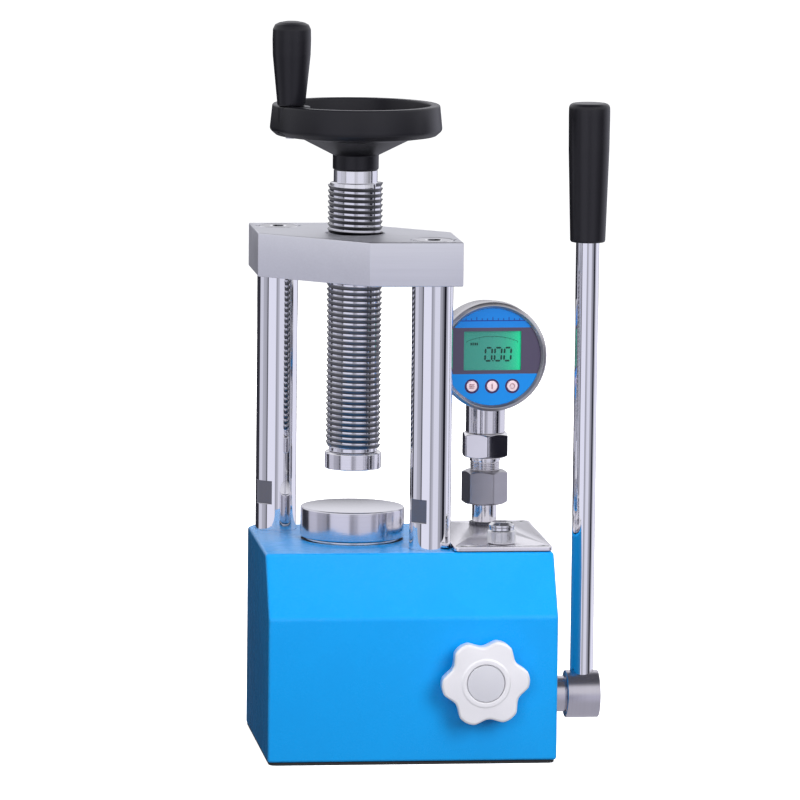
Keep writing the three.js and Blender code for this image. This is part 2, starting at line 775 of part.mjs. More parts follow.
function ramWiper() {
  const bottom = bodyTop - wiperDepth + gap;
  const inner = ramRadius + ramClearance;
  const body = ring(inner, wiperRadius - gap, bottom, bodyTop - seatGap, round);
  return piece('ram_wiper', body, finishes.blackRubber);
}

function platen() {
  const bottom = bodyTop + ramShow;
  const top = bottom + platenThickness;
  const foot = bottom - platenSpigotLength;
  const body = turned([
    [0, foot], [platenSpigotRadius, foot], [platenSpigotRadius, bottom],
    [platenRadius - platenEdge, bottom], [platenRadius, bottom + platenEdge],
    [platenRadius, top - platenEdge], [platenRadius - platenEdge, top], [0, top],
  ], round);
  return piece('platen', body, finishes.groundSteel);
}

// ---------------------------------------------------------------- reservoir cover and filler plug

function coverGasket() {
  const bottom = bodyTop + seatGap;
  const top = bottom + gasketThickness;
  const outline = roundedRectangle(
    coverLeft + gasketInset, coverFront + gasketInset,
    coverRight - gasketInset, coverBack - gasketInset, coverCorner,
  );
  const opening = roundedRectangle(pocketLeft, pocketFront, pocketRight, pocketBack, coverCorner);
  let body = raised(outline, bottom, top).subtract(raised(opening, bottom - 1, top + 1));
  for (const { x, y } of coverScrewPlaces) {
    body = body.subtract(drum(coverScrewRadius + gap, bottom - 1, top + 1, fine, x, y));
  }
  body = body.subtract(drum(riserRadius + gap, bottom - 1, top + 1, medium, riserX, riserY));
  return piece('cover_gasket', body, finishes.blackRubber);
}

function coverPlate() {
  const bottom = bodyTop + gasketThickness + 2 * seatGap;
  const outline = roundedRectangle(coverLeft, coverFront, coverRight, coverBack, coverCorner);
  let body = raised(outline, bottom, coverTop);
  const sinkRadius = coverScrewHeadRadius + gap;
  for (const { x, y } of coverScrewPlaces) {
    const sink = turned([
      [0, bottom - 1], [coverScrewRadius + gap, bottom - 1],
      [coverScrewRadius + gap, coverTop - sinkRadius + coverScrewRadius + gap],
      [sinkRadius, coverTop], [sinkRadius, coverTop + 1], [0, coverTop + 1],
    ], fine);
    body = body.subtract(sink.translate([x, y, 0]));
  }
  body = body.subtract(drum(riserRadius + gap, bottom - 1, coverTop + 1, medium, riserX, riserY));
  body = body.subtract(drum(plugThreadRadius + gap, bottom - 1, coverTop + 1, medium, plugX, plugY));
  return piece('cover_plate', body, finishes.brushedStainless);
}

function coverScrew({ name, x, y }) {
  const top = coverTop - seatGap;
  const tip = bodyTop - coverScrewLength + gap;
  const cone = coverScrewHeadRadius - coverScrewRadius;
  let body = turned([
    [0, tip], [coverScrewRadius, tip], [coverScrewRadius, top - cone],
    [coverScrewHeadRadius, top], [0, top],
  ], fine);
  body = body.subtract(drum(coverScrewRadius * 0.7, top - coverScrewRadius * 0.6, top + 1, 6));
  const mesh = piece(`cover_screw_${name}`, body, finishes.chrome);
  mesh.position.set(x, y, 0);
  return mesh;
}

function fillerPlug() {
  const under = coverTop + gap;
  const headTop = under + plugHeadHeight;
  const neckTop = headTop + plugNeckHeight;
  const recessTop = under + ringHeight + gap;
  const outer = ringOuter + gap;
  const inner = plugThreadRadius;
  const body = turned([
    [0, coverTop - plugThreadLength], [inner, coverTop - plugThreadLength], [inner, recessTop],
    [outer, recessTop], [outer, under], [plugRadius - 0.6, under], [plugRadius, under + 0.6],
    [plugRadius, headTop - 0.8], [plugRadius - 0.8, headTop], [plugNeckRadius, headTop],
    [plugNeckRadius, neckTop], [plugPinRadius, neckTop],
    [plugPinRadius, neckTop + plugCapHeight / 2 - gap], [0, neckTop + plugCapHeight / 2 - gap],
  ], medium);
  return piece('filler_plug', body, finishes.chrome);
}

function plugCap() {
  const bottom = coverTop + plugHeadHeight + plugNeckHeight + 2 * gap;
  const top = bottom + plugCapHeight;
  const hole = plugPinRadius + gap;
  const floor = bottom + plugCapHeight / 2;
  const body = turned([
    [0, floor], [hole, floor], [hole, bottom], [plugCapRadius, bottom],
    [plugCapRadius, bottom + plugCapHeight * 0.4], [plugCapRadius - 2.2, top], [0, top],
  ], medium);
  return piece('plug_cap', body, finishes.chrome);
}

function plugRing() {
  const bottom = coverTop + gap;
  const body = ring(ringInner, ringOuter, bottom, bottom + ringHeight, medium);
  return piece('plug_ring', body, finishes.blackRubber);
}

// ---------------------------------------------------------------- gauge riser and fittings

function riserTube() {
  const seat = bodyTop + gap;
  const tip = bodyTop - riserThreadLength;
  const top = lowerNutBottom + riserOverlap;
  const body = turned([
    [riserBore, tip], [riserThreadRadius, tip], [riserThreadRadius, seat], [riserRadius, seat],
    [riserRadius, top - 1], [riserRadius - 1, top], [riserBore, top],
  ], medium);
  return piece('riser_tube', body, finishes.chrome);
}

function riserCollar() {
  const bottom = coverTop + seatGap;
  const body = ring(riserRadius + gap, collarRadius, bottom, bottom + collarHeight, medium);
  return piece('riser_collar', body, finishes.darkSteel);
}

function lowerNut() {
  const body = hexNut(lowerNutAcross, lowerNutBottom, lowerNutTop, fittingRadius + gap, lowerNutTurn);
  return piece('lower_nut', body, finishes.satinAluminium);
}

function gaugeAdapter() {
  const bottom = lowerNutTop - adapterInsert;
  const top = upperNutBottom + adapterInsert;
  const body = turned([
    [riserBore, bottom], [fittingRadius, bottom], [fittingRadius, lowerNutTop + gap],
    [adapterRadius, lowerNutTop + gap], [adapterRadius, upperNutBottom - gap],
    [fittingRadius, upperNutBottom - gap], [fittingRadius, top], [riserBore, top],
  ], medium);
  return piece('gauge_adapter', body, finishes.brushedStainless);
}

function upperNut() {
  const body = hexNut(upperNutAcross, upperNutBottom, upperNutTop, fittingRadius + gap, upperNutTurn);
  return piece('upper_nut', body, finishes.chrome);
}

function gaugeStem() {
  const tip = upperNutBottom + adapterInsert + gap;
  const seat = upperNutTop + gap;
  const neckTop = gaugeZ - caseRadius + stemNeckLength;
  const body = turned([
    [riserBore, tip], [fittingRadius, tip], [fittingRadius, seat], [stemRadius, seat],
    [stemRadius, gaugeZ - caseRadius / 2], [riserBore, gaugeZ - caseRadius / 2],
  ], medium);
  const outside = drumAlongY(caseRadius + gap, -2 * gaugeFront, 2 * gaugeFront, 0, gaugeZ, round);
  const neck = ring(riserBore, stemNeckRadius, seat + 1, neckTop, fine);
  return piece('gauge_stem', body.subtract(outside).add(neck), finishes.chrome);
}

// ---------------------------------------------------------------- digital gauge

/** A solid turned about the gauge's own axis, from [radius, y] points. */
function turnedAboutFace(points, sides = round) {
  const profile = points.map(([radius, y]) => new THREE.Vector2(radius, y));
  if (points[0][0] > 0) profile.push(profile[0].clone());
  return solid(new THREE.LatheGeometry(profile, sides));
}

function gaugeCase() {
  const front = dialFront + dialThickness + gap;
  const inner = caseRadius - caseWall;
  const floor = caseBack - caseWall;
  const shell = turnedAboutFace([
    [0, caseBack], [caseRadius, caseBack], [caseRadius, front], [inner, front],
    [inner, floor], [0, floor],
  ]);
  const hole = drum(stemNeckRadius + gap, -caseRadius - 1, -inner + 1, fine);
  return piece('gauge_case', shell.subtract(hole), finishes.satinAluminium);
}

function gaugeBackCover() {
  const front = caseBack + gap;
  const back = front + backCoverThickness;
  const body = turnedAboutFace([
    [0, front], [caseRadius - 1.5, front], [caseRadius - 1.5, back - 1], [caseRadius - 2.5, back],
    [0, back],
  ]);
  return piece('gauge_back_cover', body, finishes.satinAluminium);
}

function gaugeBezel() {
  const front = -gaugeFront;
  const back = front + bezelDepth;
  const body = turnedAboutFace([
    [bezelWindow, front + 0.8], [bezelWindow + 0.8, front], [bezelRadius - 2.4, front],
    [bezelRadius, front + 2.4], [bezelRadius, back - 1], [bezelRadius - 1, back],
    [caseRadius + gap, back], [caseRadius + gap, front + bezelLip], [bezelWindow, front + bezelLip],
  ]);
  return piece('gauge_bezel', body, finishes.satinAluminium);
}

function dialPlate() {
  let body = turnedAboutFace([
    [0, dialFront], [caseRadius, dialFront], [caseRadius, dialFront + dialThickness],
    [0, dialFront + dialThickness],
  ]);
  body = body.subtract(block(
    [windowLeft, dialFront - 1, windowBottom],
    [windowLeft + windowWidth, dialFront + dialThickness + 1, windowBottom + windowHeight],
  ));
  for (const { x } of buttonPlaces) {
    const hole = drumAlongY(
      buttonRadius + gap, dialFront - 1, dialFront + dialThickness + 1, x, -buttonDrop, medium,
    );
    body = body.subtract(hole);
  }
  return piece('dial_plate', body, finishes.dialFilm);
}

function displayWindow() {
  const body = block(
    [windowLeft + gap, dialFront + gap, windowBottom + gap],
    [windowLeft + windowWidth - gap, dialFront + dialThickness, windowBottom + windowHeight - gap],
  );
  return piece('display_window', body, finishes.clearWindow);
}

function displayModule() {
  const front = dialFront + dialThickness + gap;
  const body = block(
    [windowLeft - displayBorder, front, windowBottom - displayBorder],
    [windowLeft + windowWidth + displayBorder, front + displayThickness,
      windowBottom + windowHeight + displayBorder],
  );
  return piece('display_module', body, finishes.displayGreen);
}

function gaugeButton({ name, x }) {
  const front = dialFront - buttonProud;
  const body = turnedAboutFace([
    [0, front], [buttonRadius - 0.6, front], [buttonRadius, front + 0.6],
    [buttonRadius, front + buttonLength], [0, front + buttonLength],
  ], medium);
  const mesh = piece(`gauge_button_${name}`, body, finishes.buttonPink);
  mesh.position.set(x, 0, -buttonDrop);
  return mesh;
}

function circuitBoard() {
  const front = dialFront + dialThickness + boardBehindDial;
  const body = turnedAboutFace([
    [0, front], [boardRadius, front], [boardRadius, front + boardThickness],
    [0, front + boardThickness],
  ], medium);
  return piece('circuit_board', body, finishes.boardGreen);
}

// ---------------------------------------------------------------- hand pump

function leverSocket() {
  const left = bodyRight + socketSideGap;
  const hubLeft = leverX - socketLength / 2;
  const hubRight = leverX + socketLength / 2;
  const geometry = new THREE.LatheGeometry([
    [0, left], [socketNeckRadius, left], [socketNeckRadius, hubLeft],
    [socketRadius - socketEdge, hubLeft], [socketRadius, hubLeft + socketEdge],
    [socketRadius, hubRight - socketEdge], [socketRadius - socketEdge, hubRight], [0, hubRight],
  ].map(([radius, along]) => new THREE.Vector2(radius, along)), round);
  let body = solid(geometry.rotateZ(-Math.PI / 2).translate(0, leverY, leverZ));
  body = body.subtract(drumAlongX(
    shaftRadius + gap, left - 1, left + shaftInSocket + gap, leverY, leverZ, medium,
  ));
  body = body.subtract(drum(
    rodRadius + gap, leverZ + rodSeat, leverZ + 2 * socketRadius, medium, leverX, leverY,
  ));
  const pinX = left + shaftInSocket / 2;
  body = body.subtract(drum(
    shaftPinRadius + gap, leverZ - socketRadius, leverZ + socketRadius, fine, pinX, leverY,
  ));
  return piece('lever_socket', body, finishes.brushedStainless);
}

function leverRod() {
  const bottom = leverZ + rodSeat + gap;
  const body = turned([
    [0, bottom], [rodRadius, bottom], [rodRadius, rodTop - 2], [rodRadius - 2, rodTop], [0, rodTop],
  ], medium);
  return piece('lever_rod', body, finishes.chrome);
}

function leverGrip() {
  const bore = rodRadius + gap;
  const boreTop = rodTop + gap;
  const body = turned([
    [0, boreTop], [bore, boreTop], [bore, gripBottom], [gripFootRadius - 1.5, gripBottom],
    [gripFootRadius, gripBottom + 1.5], [gripHeadRadius - 0.1, gripTop - 0.3 * (gripTop - gripBottom)],
    [gripHeadRadius, gripTop - 2 * gripEdge],
    [gripHeadRadius - gripEdge * 0.3, gripTop - gripEdge * 0.7],
    [gripHeadRadius - gripEdge, gripTop], [0, gripTop],
  ], medium);
  return piece('lever_grip', body, finishes.blackPlastic);
}

function leverPin() {
  const pinX = bodyRight + socketSideGap + shaftInSocket / 2;
  const reach = socketNeckRadius - 0.5;
  const body = drum(shaftPinRadius, leverZ - reach, leverZ + reach, fine, pinX, leverY);
  return piece('lever_pin', body, finishes.darkSteel);
}

/** The pump shaft with its crank arm and crank pin. */
function pumpShaft() {
  const left = crankX - crankThickness / 2;
  const right = bodyRight + socketSideGap + shaftInSocket;
  const shaft = drumAlongX(shaftRadius, left, right, leverY, leverZ, medium);
  const armRight = crankX + crankThickness / 2;
  const low = drumAlongX(crankArmHalf, left, armRight, leverY, leverZ, medium);
  const high = drumAlongX(crankArmHalf * 0.6, left, armRight, leverY, crankZ, fine);
  const web = block(
    [left, leverY - crankArmHalf * 0.6, leverZ],
    [armRight, leverY + crankArmHalf * 0.6, crankZ],
  );
  const pin = drumAlongX(crankPinRadius, yokeX - yokeThickness / 2, left + 1, leverY, crankZ, fine);
  let body = shaft.add(low).add(high).add(web).add(pin);
  const pinX = bodyRight + socketSideGap + shaftInSocket / 2;
  const pinHole = drum(shaftPinRadius + gap, leverZ - socketRadius, leverZ + socketRadius, fine, pinX, leverY);
  body = body.subtract(pinHole);
  return piece('pump_shaft', body, finishes.groundSteel);
}

function shaftBush() {
  const right = bodyRight - gap;
  const left = right - bushLength;
  const outer = drumAlongX(bushRadius, left, right, leverY, leverZ, medium);
  const body = outer.subtract(drumAlongX(
    shaftRadius + gap, left - 1, right + 1, leverY, leverZ, medium,
  ));
  return piece('shaft_bush', body, finishes.brass);
}

/** The plunger with the slotted yoke that the crank pin works in. */
function pumpPlunger() {
  const slotHalf = crankPinRadius + crankPinSlack;
  const left = yokeX - yokeThickness / 2;
  const right = yokeX + yokeThickness / 2;
  const rod = drumAlongY(plungerRadius, plungerTip, leverY - yokeHalfLength + 1, yokeX, crankZ, fine);
  const yoke = block(
    [left, leverY - yokeHalfLength, crankZ - yokeHalfHeight],
    [right, leverY + yokeHalfLength, crankZ + yokeHalfHeight],
  );
  const slot = block(
    [left - 1, leverY - slotHalf, crankZ - yokeHalfHeight + 2.5],
    [right + 1, leverY + slotHalf, crankZ + yokeHalfHeight - 2.5],
  );
  return piece('pump_plunger', yoke.subtract(slot).add(rod), finishes.groundSteel);
}

function pumpBlock() {
  const front = pocketFront + gap;
  let body = block([blockLeft, front, pocketFloor + gap], [blockRight, blockBack, blockTop]);
  body = body.subtract(drumAlongY(
    plungerRadius + gap, plungerTip - plungerReach, blockBack + 1, yokeX, crankZ,
  ));
  body = body.subtract(drumAlongY(spindleShaft + gap, front - 1, valveSeat, valveX, valveZ));
  body = body.subtract(drumAlongY(seatRadius, valveSeat - 1, blockBack + 1, valveX, valveZ));
  return piece('pump_block', body, finishes.groundSteel);
}

// ---------------------------------------------------------------- release valve

function valveSpindle() {
  const knobFloor = knobFront + knobCapDepth + 2;
  const body = drumAlongY(spindleShaft, knobFloor + gap, spindleTip, valveX, valveZ);
  return piece('valve_spindle', body, finishes.groundSteel);
}

function valveBall() {
  const ball = new THREE.SphereGeometry(ballRadius, 12, 8);
  const middle = spindleTip + ballRadius + gap;
  return piece('valve_ball', solid(ball.translate(valveX, middle, valveZ)), finishes.chrome);
}

function valveGland() {
  const face = -bodyFrontOfAxis - gap;
  const nose = drumAlongY(glandRadius, face - glandProud, face, valveX, valveZ, medium);
  const stem = drumAlongY(glandBoreRadius, face - 1, face + glandDepth, valveX, valveZ, medium);
  const bore = drumAlongY(
    spindleShaft + gap, face - glandProud - 1, face + glandDepth + 1, valveX, valveZ, fine,
  );
  return piece('valve_gland', nose.add(stem).subtract(bore), finishes.groundSteel);
}

/** The lobed outline of the release knob. */
function knobOutline() {
  const pitch = (2 * Math.PI) / knobLobes;
  const stations = [-1, -0.6, -0.3, 0, 0.3, 0.6, 1];
  const points = [];
  for (let lobe = 0; lobe < knobLobes; lobe += 1) {
    for (const station of stations) {
      const angle = knobTurn + (lobe + 0.5) * pitch + station * knobScallopHalf;
      const radius = knobRadius - 0.7 - knobScallop * Math.cos((station * Math.PI) / 2);
      points.push(new THREE.Vector2(radius * Math.cos(angle), radius * Math.sin(angle)));
    }
    const middle = knobTurn + (lobe + 1) * pitch;
    points.push(new THREE.Vector2(knobRadius * Math.cos(middle), knobRadius * Math.sin(middle)));
  }
  return new THREE.Shape(points);
}

function releaseKnob() {
  const depth = knobDepth - 2 * knobEdge;
  const plate = new THREE.ExtrudeGeometry(knobOutline(), {
    depth,
    bevelEnabled: true,
    bevelThickness: knobEdge,
    bevelSize: knobEdge,
    bevelOffset: -knobEdge,
    bevelSegments: 2,
  });
  plate.rotateX(Math.PI / 2).translate(valveX, knobFront + knobDepth - knobEdge, valveZ);
  const hubBack = -bodyFrontOfAxis - gap - glandProud - gap;
  const middle = (knobFront + hubBack) / 2;
  const hub = drumAlongY(knobHubRadius, middle, hubBack, valveX, valveZ, medium);
  const recess = drumAlongY(
    knobCapRadius + gap, knobFront - 1, knobFront + knobCapDepth, valveX, valveZ, medium,
  );
  const bore = drumAlongY(
    spindleShaft + gap, knobFront + knobCapDepth + 2, hubBack + 1, valveX, valveZ, fine,
  );
  const body = solid(plate).add(hub).subtract(recess).subtract(bore);
  return piece('release_knob', body, finishes.satinAluminium);
}

function knobCap() {
  const body = drumAlongY(
    knobCapRadius, knobFront + seatGap, knobFront + knobCapDepth - gap, valveX, valveZ, medium,
  );
  return piece('knob_cap', body, finishes.satinAluminium);
}

// ---------------------------------------------------------------- the press

const press = new THREE.Group();

press.add(baseCasting(), baseMat());
press.add(...columnPlaces.map(column));
for (const place of columnPlaces) press.add(...keySides.map((side) => columnKey(place, side)));
press.add(crosshead());

press.add(leadScrew(), swivelFoot(), footSetScrew());
press.add(handwheel(), wheelWasher(), wheelBolt());
press.add(assembly([handleSpindle(), crankHandle(), handleCap()], handleX, handleY));

press.add(ram(), ramSeal(), ramWiper(), platen());

press.add(coverGasket(), coverPlate(), ...coverScrewPlaces.map(coverScrew));
press.add(assembly([fillerPlug(), plugCap(), plugRing()], plugX, plugY));

press.add(assembly([
  riserTube(), riserCollar(), lowerNut(), gaugeAdapter(), upperNut(), gaugeStem(),
], riserX, riserY));

const gauge = assembly([
  gaugeCase(), gaugeBackCover(), gaugeBezel(), dialPlate(), displayWindow(), displayModule(),
  ...buttonPlaces.map(gaugeButton), circuitBoard(),
], riserX, riserY, gaugeZ);
gauge.rotation.z = gaugeTurn;
press.add(gauge);

press.add(leverSocket(), leverPin(), pumpShaft(), shaftBush(), pumpPlunger(), pumpBlock());
press.add(assembly([leverRod(), leverGrip()], leverX, leverY));

press.add(valveSpindle(), valveBall(), valveGland(), releaseKnob(), knobCap());

export default press;
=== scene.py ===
"""Finished look of a manual hydraulic tablet press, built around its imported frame.

The frame gives every place. Each sub-assembly below is a class that holds its own sizes in
millimetres, builds its meshes in metres and dresses them. Finishes are small frozen classes.
"""

from __future__ import annotations

import json
import logging
import math
from dataclasses import dataclass
from enum import Enum
from typing import Any, Callable, Sequence

import bmesh
import bpy
from mathutils import Matrix, Vector
from mathutils.geometry import tessellate_polygon

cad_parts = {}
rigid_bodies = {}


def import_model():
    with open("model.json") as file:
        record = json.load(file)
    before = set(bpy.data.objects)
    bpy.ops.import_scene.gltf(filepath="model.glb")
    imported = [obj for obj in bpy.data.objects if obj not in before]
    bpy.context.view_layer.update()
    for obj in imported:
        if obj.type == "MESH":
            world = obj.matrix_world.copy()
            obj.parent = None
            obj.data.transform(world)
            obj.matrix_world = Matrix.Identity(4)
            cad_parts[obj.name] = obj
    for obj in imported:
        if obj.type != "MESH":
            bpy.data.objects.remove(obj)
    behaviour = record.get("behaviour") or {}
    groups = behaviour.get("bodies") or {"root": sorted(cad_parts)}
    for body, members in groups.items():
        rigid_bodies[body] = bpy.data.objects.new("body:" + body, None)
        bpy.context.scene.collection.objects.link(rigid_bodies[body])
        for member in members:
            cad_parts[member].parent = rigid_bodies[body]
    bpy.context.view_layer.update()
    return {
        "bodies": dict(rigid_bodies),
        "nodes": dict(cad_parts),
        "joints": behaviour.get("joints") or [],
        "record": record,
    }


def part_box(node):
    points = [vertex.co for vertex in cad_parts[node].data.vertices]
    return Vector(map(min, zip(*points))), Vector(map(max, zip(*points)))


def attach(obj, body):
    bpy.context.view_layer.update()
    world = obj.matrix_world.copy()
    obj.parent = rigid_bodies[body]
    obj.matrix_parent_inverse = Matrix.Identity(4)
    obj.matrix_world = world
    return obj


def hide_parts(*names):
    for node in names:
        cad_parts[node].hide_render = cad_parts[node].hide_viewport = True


log = logging.getLogger("tablet_press")

MM = 0.001
TURN = math.tau
SHARP_ANGLE = math.radians(32.0)
OIL_POCKET = (73.0, -64.5, 127.0, 20.0)
OIL_POCKET_CORNER = 3.0

Point = tuple[float, float]
Colour = tuple[float, float, float]


# ---- node trees


class Graph:
    """A node tree with one way to add any node to it."""

    def __init__(self, tree: bpy.types.NodeTree) -> None:
        """Wrap a tree.

        Args:
            tree: the shader or geometry tree to build in.
        """
        self.tree = tree

    def add(
        self,
        kind: str,
        settings: dict[str, Any] | None = None,
        inputs: dict[int | str, Any] | None = None,
    ) -> bpy.types.Node:
        """Add one node.

        Args:
            kind: the node's type name.
            settings: its properties, or "stops" for the stops of a colour ramp.
            inputs: a value, a socket or a Value for each named or numbered input.

        Returns:
            The new node.
        """
        node = self.tree.nodes.new(kind)
        for name, value in (settings or {}).items():
            if name == "stops":
                self._set_stops(node.color_ramp, value)
            else:
                setattr(node, name, value)
        for key, value in (inputs or {}).items():
            source = value.socket if isinstance(value, Value) else value
            if isinstance(source, bpy.types.NodeSocket):
                self.tree.links.new(source, node.inputs[key])
            else:
                node.inputs[key].default_value = source
        return node

    @staticmethod
    def _set_stops(ramp: bpy.types.ColorRamp, stops: Sequence[tuple[float, Colour]]) -> None:
        """Give a colour ramp its stops."""
        while len(ramp.elements) < len(stops):
            ramp.elements.new(1.0)
        for element, (place, colour) in zip(ramp.elements, stops):
            element.position = place
            element.color = (*colour, 1.0)

    def value(self, socket: bpy.types.NodeSocket) -> "Value":
        """A number socket as a Value."""
        return Value(self, socket)


class Value:
    """A number socket that takes Python's operators and adds Math nodes for them."""

    def __init__(self, graph: Graph, socket: bpy.types.NodeSocket) -> None:
        """Wrap a socket of a graph."""
        self.graph = graph
        self.socket = socket

    def math(self, operation: str, *others: Any) -> "Value":
        """One Math node on this value and the others, in their order."""
        terms = dict(enumerate((self, *others)))
        node = self.graph.add("ShaderNodeMath", {"operation": operation}, terms)
        return Value(self.graph, node.outputs[0])

    def __add__(self, other: Any) -> "Value":
        """The sum."""
        return self.math("ADD", other)

    __radd__ = __add__

    def __sub__(self, other: Any) -> "Value":
        """The difference."""
        return self.math("SUBTRACT", other)

    def __rsub__(self, other: Any) -> "Value":
        """The difference the other way round."""
        return self * -1.0 + other

    def __mul__(self, other: Any) -> "Value":
        """The product."""
        return self.math("MULTIPLY", other)

    __rmul__ = __mul__

    def __truediv__(self, other: Any) -> "Value":
        """The quotient."""
        return self.math("DIVIDE", other)

    def __pow__(self, power: Any) -> "Value":
        """The power."""
        return self.math("POWER", power)

    def root(self) -> "Value":
        """The square root."""
        return self.math("SQRT")

    def minimum(self, other: Any) -> "Value":
        """The lesser of the two."""
        return self.math("MINIMUM", other)

    def clamp(self) -> "Value":
        """The value held between nought and one."""
        return self.math("MAXIMUM", 0.0).minimum(1.0)

    def over(self, edge: float) -> "Value":
        """One where the value is over the edge, else nought."""
        return self.math("GREATER_THAN", edge)


class Surface:
    """A material's tree, with its Principled shader and object coordinates at hand."""

    def __init__(self, name: str) -> None:
        """Start a material.

        Args:
            name: the material's name.
        """
        self.material = bpy.data.materials.new(name)
        self.material.use_nodes = True
        tree = self.material.node_tree
        tree.nodes.clear()
        self.graph = Graph(tree)
        self.shader = self.graph.add("ShaderNodeBsdfPrincipled")
        output = self.graph.add("ShaderNodeOutputMaterial")
        tree.links.new(self.shader.outputs[0], output.inputs[0])
        self.object = self.graph.add("ShaderNodeTexCoord").outputs["Object"]

    def set(self, **sockets: Any) -> None:
        """Set or link sockets of the shader, with _ for a space in their names."""
        for name, value in sockets.items():
            socket = self.shader.inputs[name.replace("_", " ")]
            source = value.socket if isinstance(value, Value) else value
            if isinstance(source, bpy.types.NodeSocket):
                self.graph.tree.links.new(source, socket)
            else:
                socket.default_value = source

    def axes(self, centre: Vector | None = None) -> tuple[Value, Value, Value]:
        """Object coordinates, in metres from a centre.

        Args:
            centre: the point that they are counted from.

        Returns:
            The three coordinates.
        """
        split = self.graph.add("ShaderNodeSeparateXYZ", inputs={0: self.object})
        values = [Value(self.graph, socket) for socket in split.outputs]
        if centre is None:
            return values[0], values[1], values[2]
        shifted = [value - offset for value, offset in zip(values, centre)]
        return shifted[0], shifted[1], shifted[2]

    def noise(self, scale: float, detail: float = 2.0, stretch: Sequence[float] = (1, 1, 1)) -> Value:
        """Noise on object coordinates.

        Args:
            scale: cells per metre.
            detail: octaves.
            stretch: how much finer it is along each axis.

        Returns:
            A value about one half.
        """
        mapped = self.graph.add("ShaderNodeMapping", inputs={0: self.object, 3: tuple(stretch)})
        node = self.graph.add(
            "ShaderNodeTexNoise", inputs={"Vector": mapped.outputs[0], "Scale": scale, "Detail": detail}
        )
        return Value(self.graph, node.outputs[0])

    def line_noise(self, along: Value, scale: float, detail: float = 3.0) -> Value:
        """Noise that changes along one value only, as tool marks do."""
        node = self.graph.add(
            "ShaderNodeTexNoise",
            {"noise_dimensions": "1D"},
            {"W": along, "Scale": scale, "Detail": detail},
        )
        return Value(self.graph, node.outputs[0])

    def bump(self, height: Value, distance: float, strength: float = 1.0) -> None:
        """Raise the surface by a height."""
        node = self.graph.add(
            "ShaderNodeBump", inputs={"Height": height, "Distance": distance, "Strength": strength}
        )
        self.set(Normal=node.outputs[0])

    def tint(self, mask: Value, low: Colour, high: Colour) -> bpy.types.NodeSocket:
        """A colour between two by a mask."""
        node = self.graph.add(
            "ShaderNodeMix",
            {"data_type": "RGBA"},
            {"Factor": mask, 6: (*low, 1.0), 7: (*high, 1.0)},
        )
        return node.outputs[2]


# ---- finishes


class Axis(Enum):
    """The axis that a piece is turned about, or that its grain runs along."""

    X = 0
    Y = 1
    Z = 2


@dataclass(frozen=True)
class Enamel:
    """Gloss enamel over a casting, with a fine orange peel."""

    name: str = "blue_enamel"
    colour: Colour = (0.006, 0.375, 0.930)
    shade: Colour = (0.005, 0.335, 0.860)

    def material(self) -> bpy.types.Material:
        """Build the material."""
        surface = Surface(self.name)
        peel = surface.noise(620.0, 3.0)
        drift = surface.noise(38.0, 2.0)
        speck = surface.noise(1900.0, 1.0)
        mask = (drift * 0.7 + peel * 0.3).clamp()
        surface.set(
            Base_Color=surface.tint(mask, self.shade, self.colour),
            Roughness=drift * 0.10 + 0.19 + speck * 0.06,
            Coat_Weight=0.06,
            Coat_Roughness=0.10,
            Specular_IOR_Level=0.26,
        )
        surface.bump(peel * 0.8 + speck * 0.2, 0.00016, 0.42)
        return surface.material


@dataclass(frozen=True)
class Turned:
    """Metal turned about an axis, with rings of tool marks, a faint patch of wear, and painted shade between
    a thread's flanks.
    """

    name: str
    colour: Colour
    roughness: float
    marks: float = 0.3
    spacing: float = 1400.0
    axis: Axis = Axis.Z
    centre: tuple[float, float, float] = (0.0, 0.0, 0.0)
    patch: float = 0.06
    flank: tuple[float, float] | None = None
    most_fade: float = 0.14
    flank_painted_shade: float = 0.80
    flank_rough: float = 0.22

    def material(self) -> bpy.types.Material:
        """Build the material, with painted shade darkening it between the two radii of a thread's flanks."""
        surface = Surface(self.name)
        values = surface.axes(Vector(self.centre))
        along = values[self.axis.value]
        across = [value for index, value in enumerate(values) if index != self.axis.value]
        radius = (across[0] * across[0] + across[1] * across[1]).root()
        rings = surface.line_noise(radius + along * 0.83, self.spacing)
        wide = surface.line_noise(radius * 0.9 + along * 0.77, self.spacing * 0.11)
        wear = surface.noise(55.0, 3.0)
        rough = wear * self.patch + (self.roughness - self.patch * 0.5) + rings * self.marks * 0.10
        fade = min(self.most_fade, 0.5 * self.marks)
        shade = (rings * 0.6 + wide * 0.4).clamp() * fade + (1.0 - fade)
        if self.flank:
            # Painted shade: the colour is darkened between the flank radii, where the ridges of a thread
            # shade each other; the roughness rises there too.
            between = radius.over(self.flank[0]) - radius.over(self.flank[1])
            shade = shade * (1.0 - between * self.flank_painted_shade)
            rough = rough + between * self.flank_rough
        surface.set(
            Base_Color=surface.tint(shade, (0.0, 0.0, 0.0), self.colour),
            Metallic=1.0,
            Roughness=rough,
        )
        surface.bump(rings * 0.7 + wide * 0.3, 0.00005, self.marks)
        return surface.material


@dataclass(frozen=True)
class Brushed:
    """Metal with straight grain along one axis."""

    name: str
    colour: Colour
    roughness: float
    grain: float = 0.3
    axis: Axis = Axis.X
    fineness: float = 900.0

    def material(self) -> bpy.types.Material:
        """Build the material."""
        surface = Surface(self.name)
        stretch = [1.0, 1.0, 1.0]
        stretch[self.axis.value] = 0.02
        lines = surface.noise(self.fineness, 4.0, stretch)
        broad = surface.noise(self.fineness * 0.12, 2.0, stretch)
        wear = surface.noise(30.0, 3.0)
        dark = tuple(0.88 * part for part in self.colour)
        surface.set(
            Base_Color=surface.tint((lines * 0.7 + broad * 0.3).clamp(), dark, self.colour),
            Metallic=1.0,
            Roughness=lines * 0.10 + wear * 0.08 + (self.roughness - 0.09),
        )
        surface.bump(lines, 0.00004, self.grain)
        return surface.material


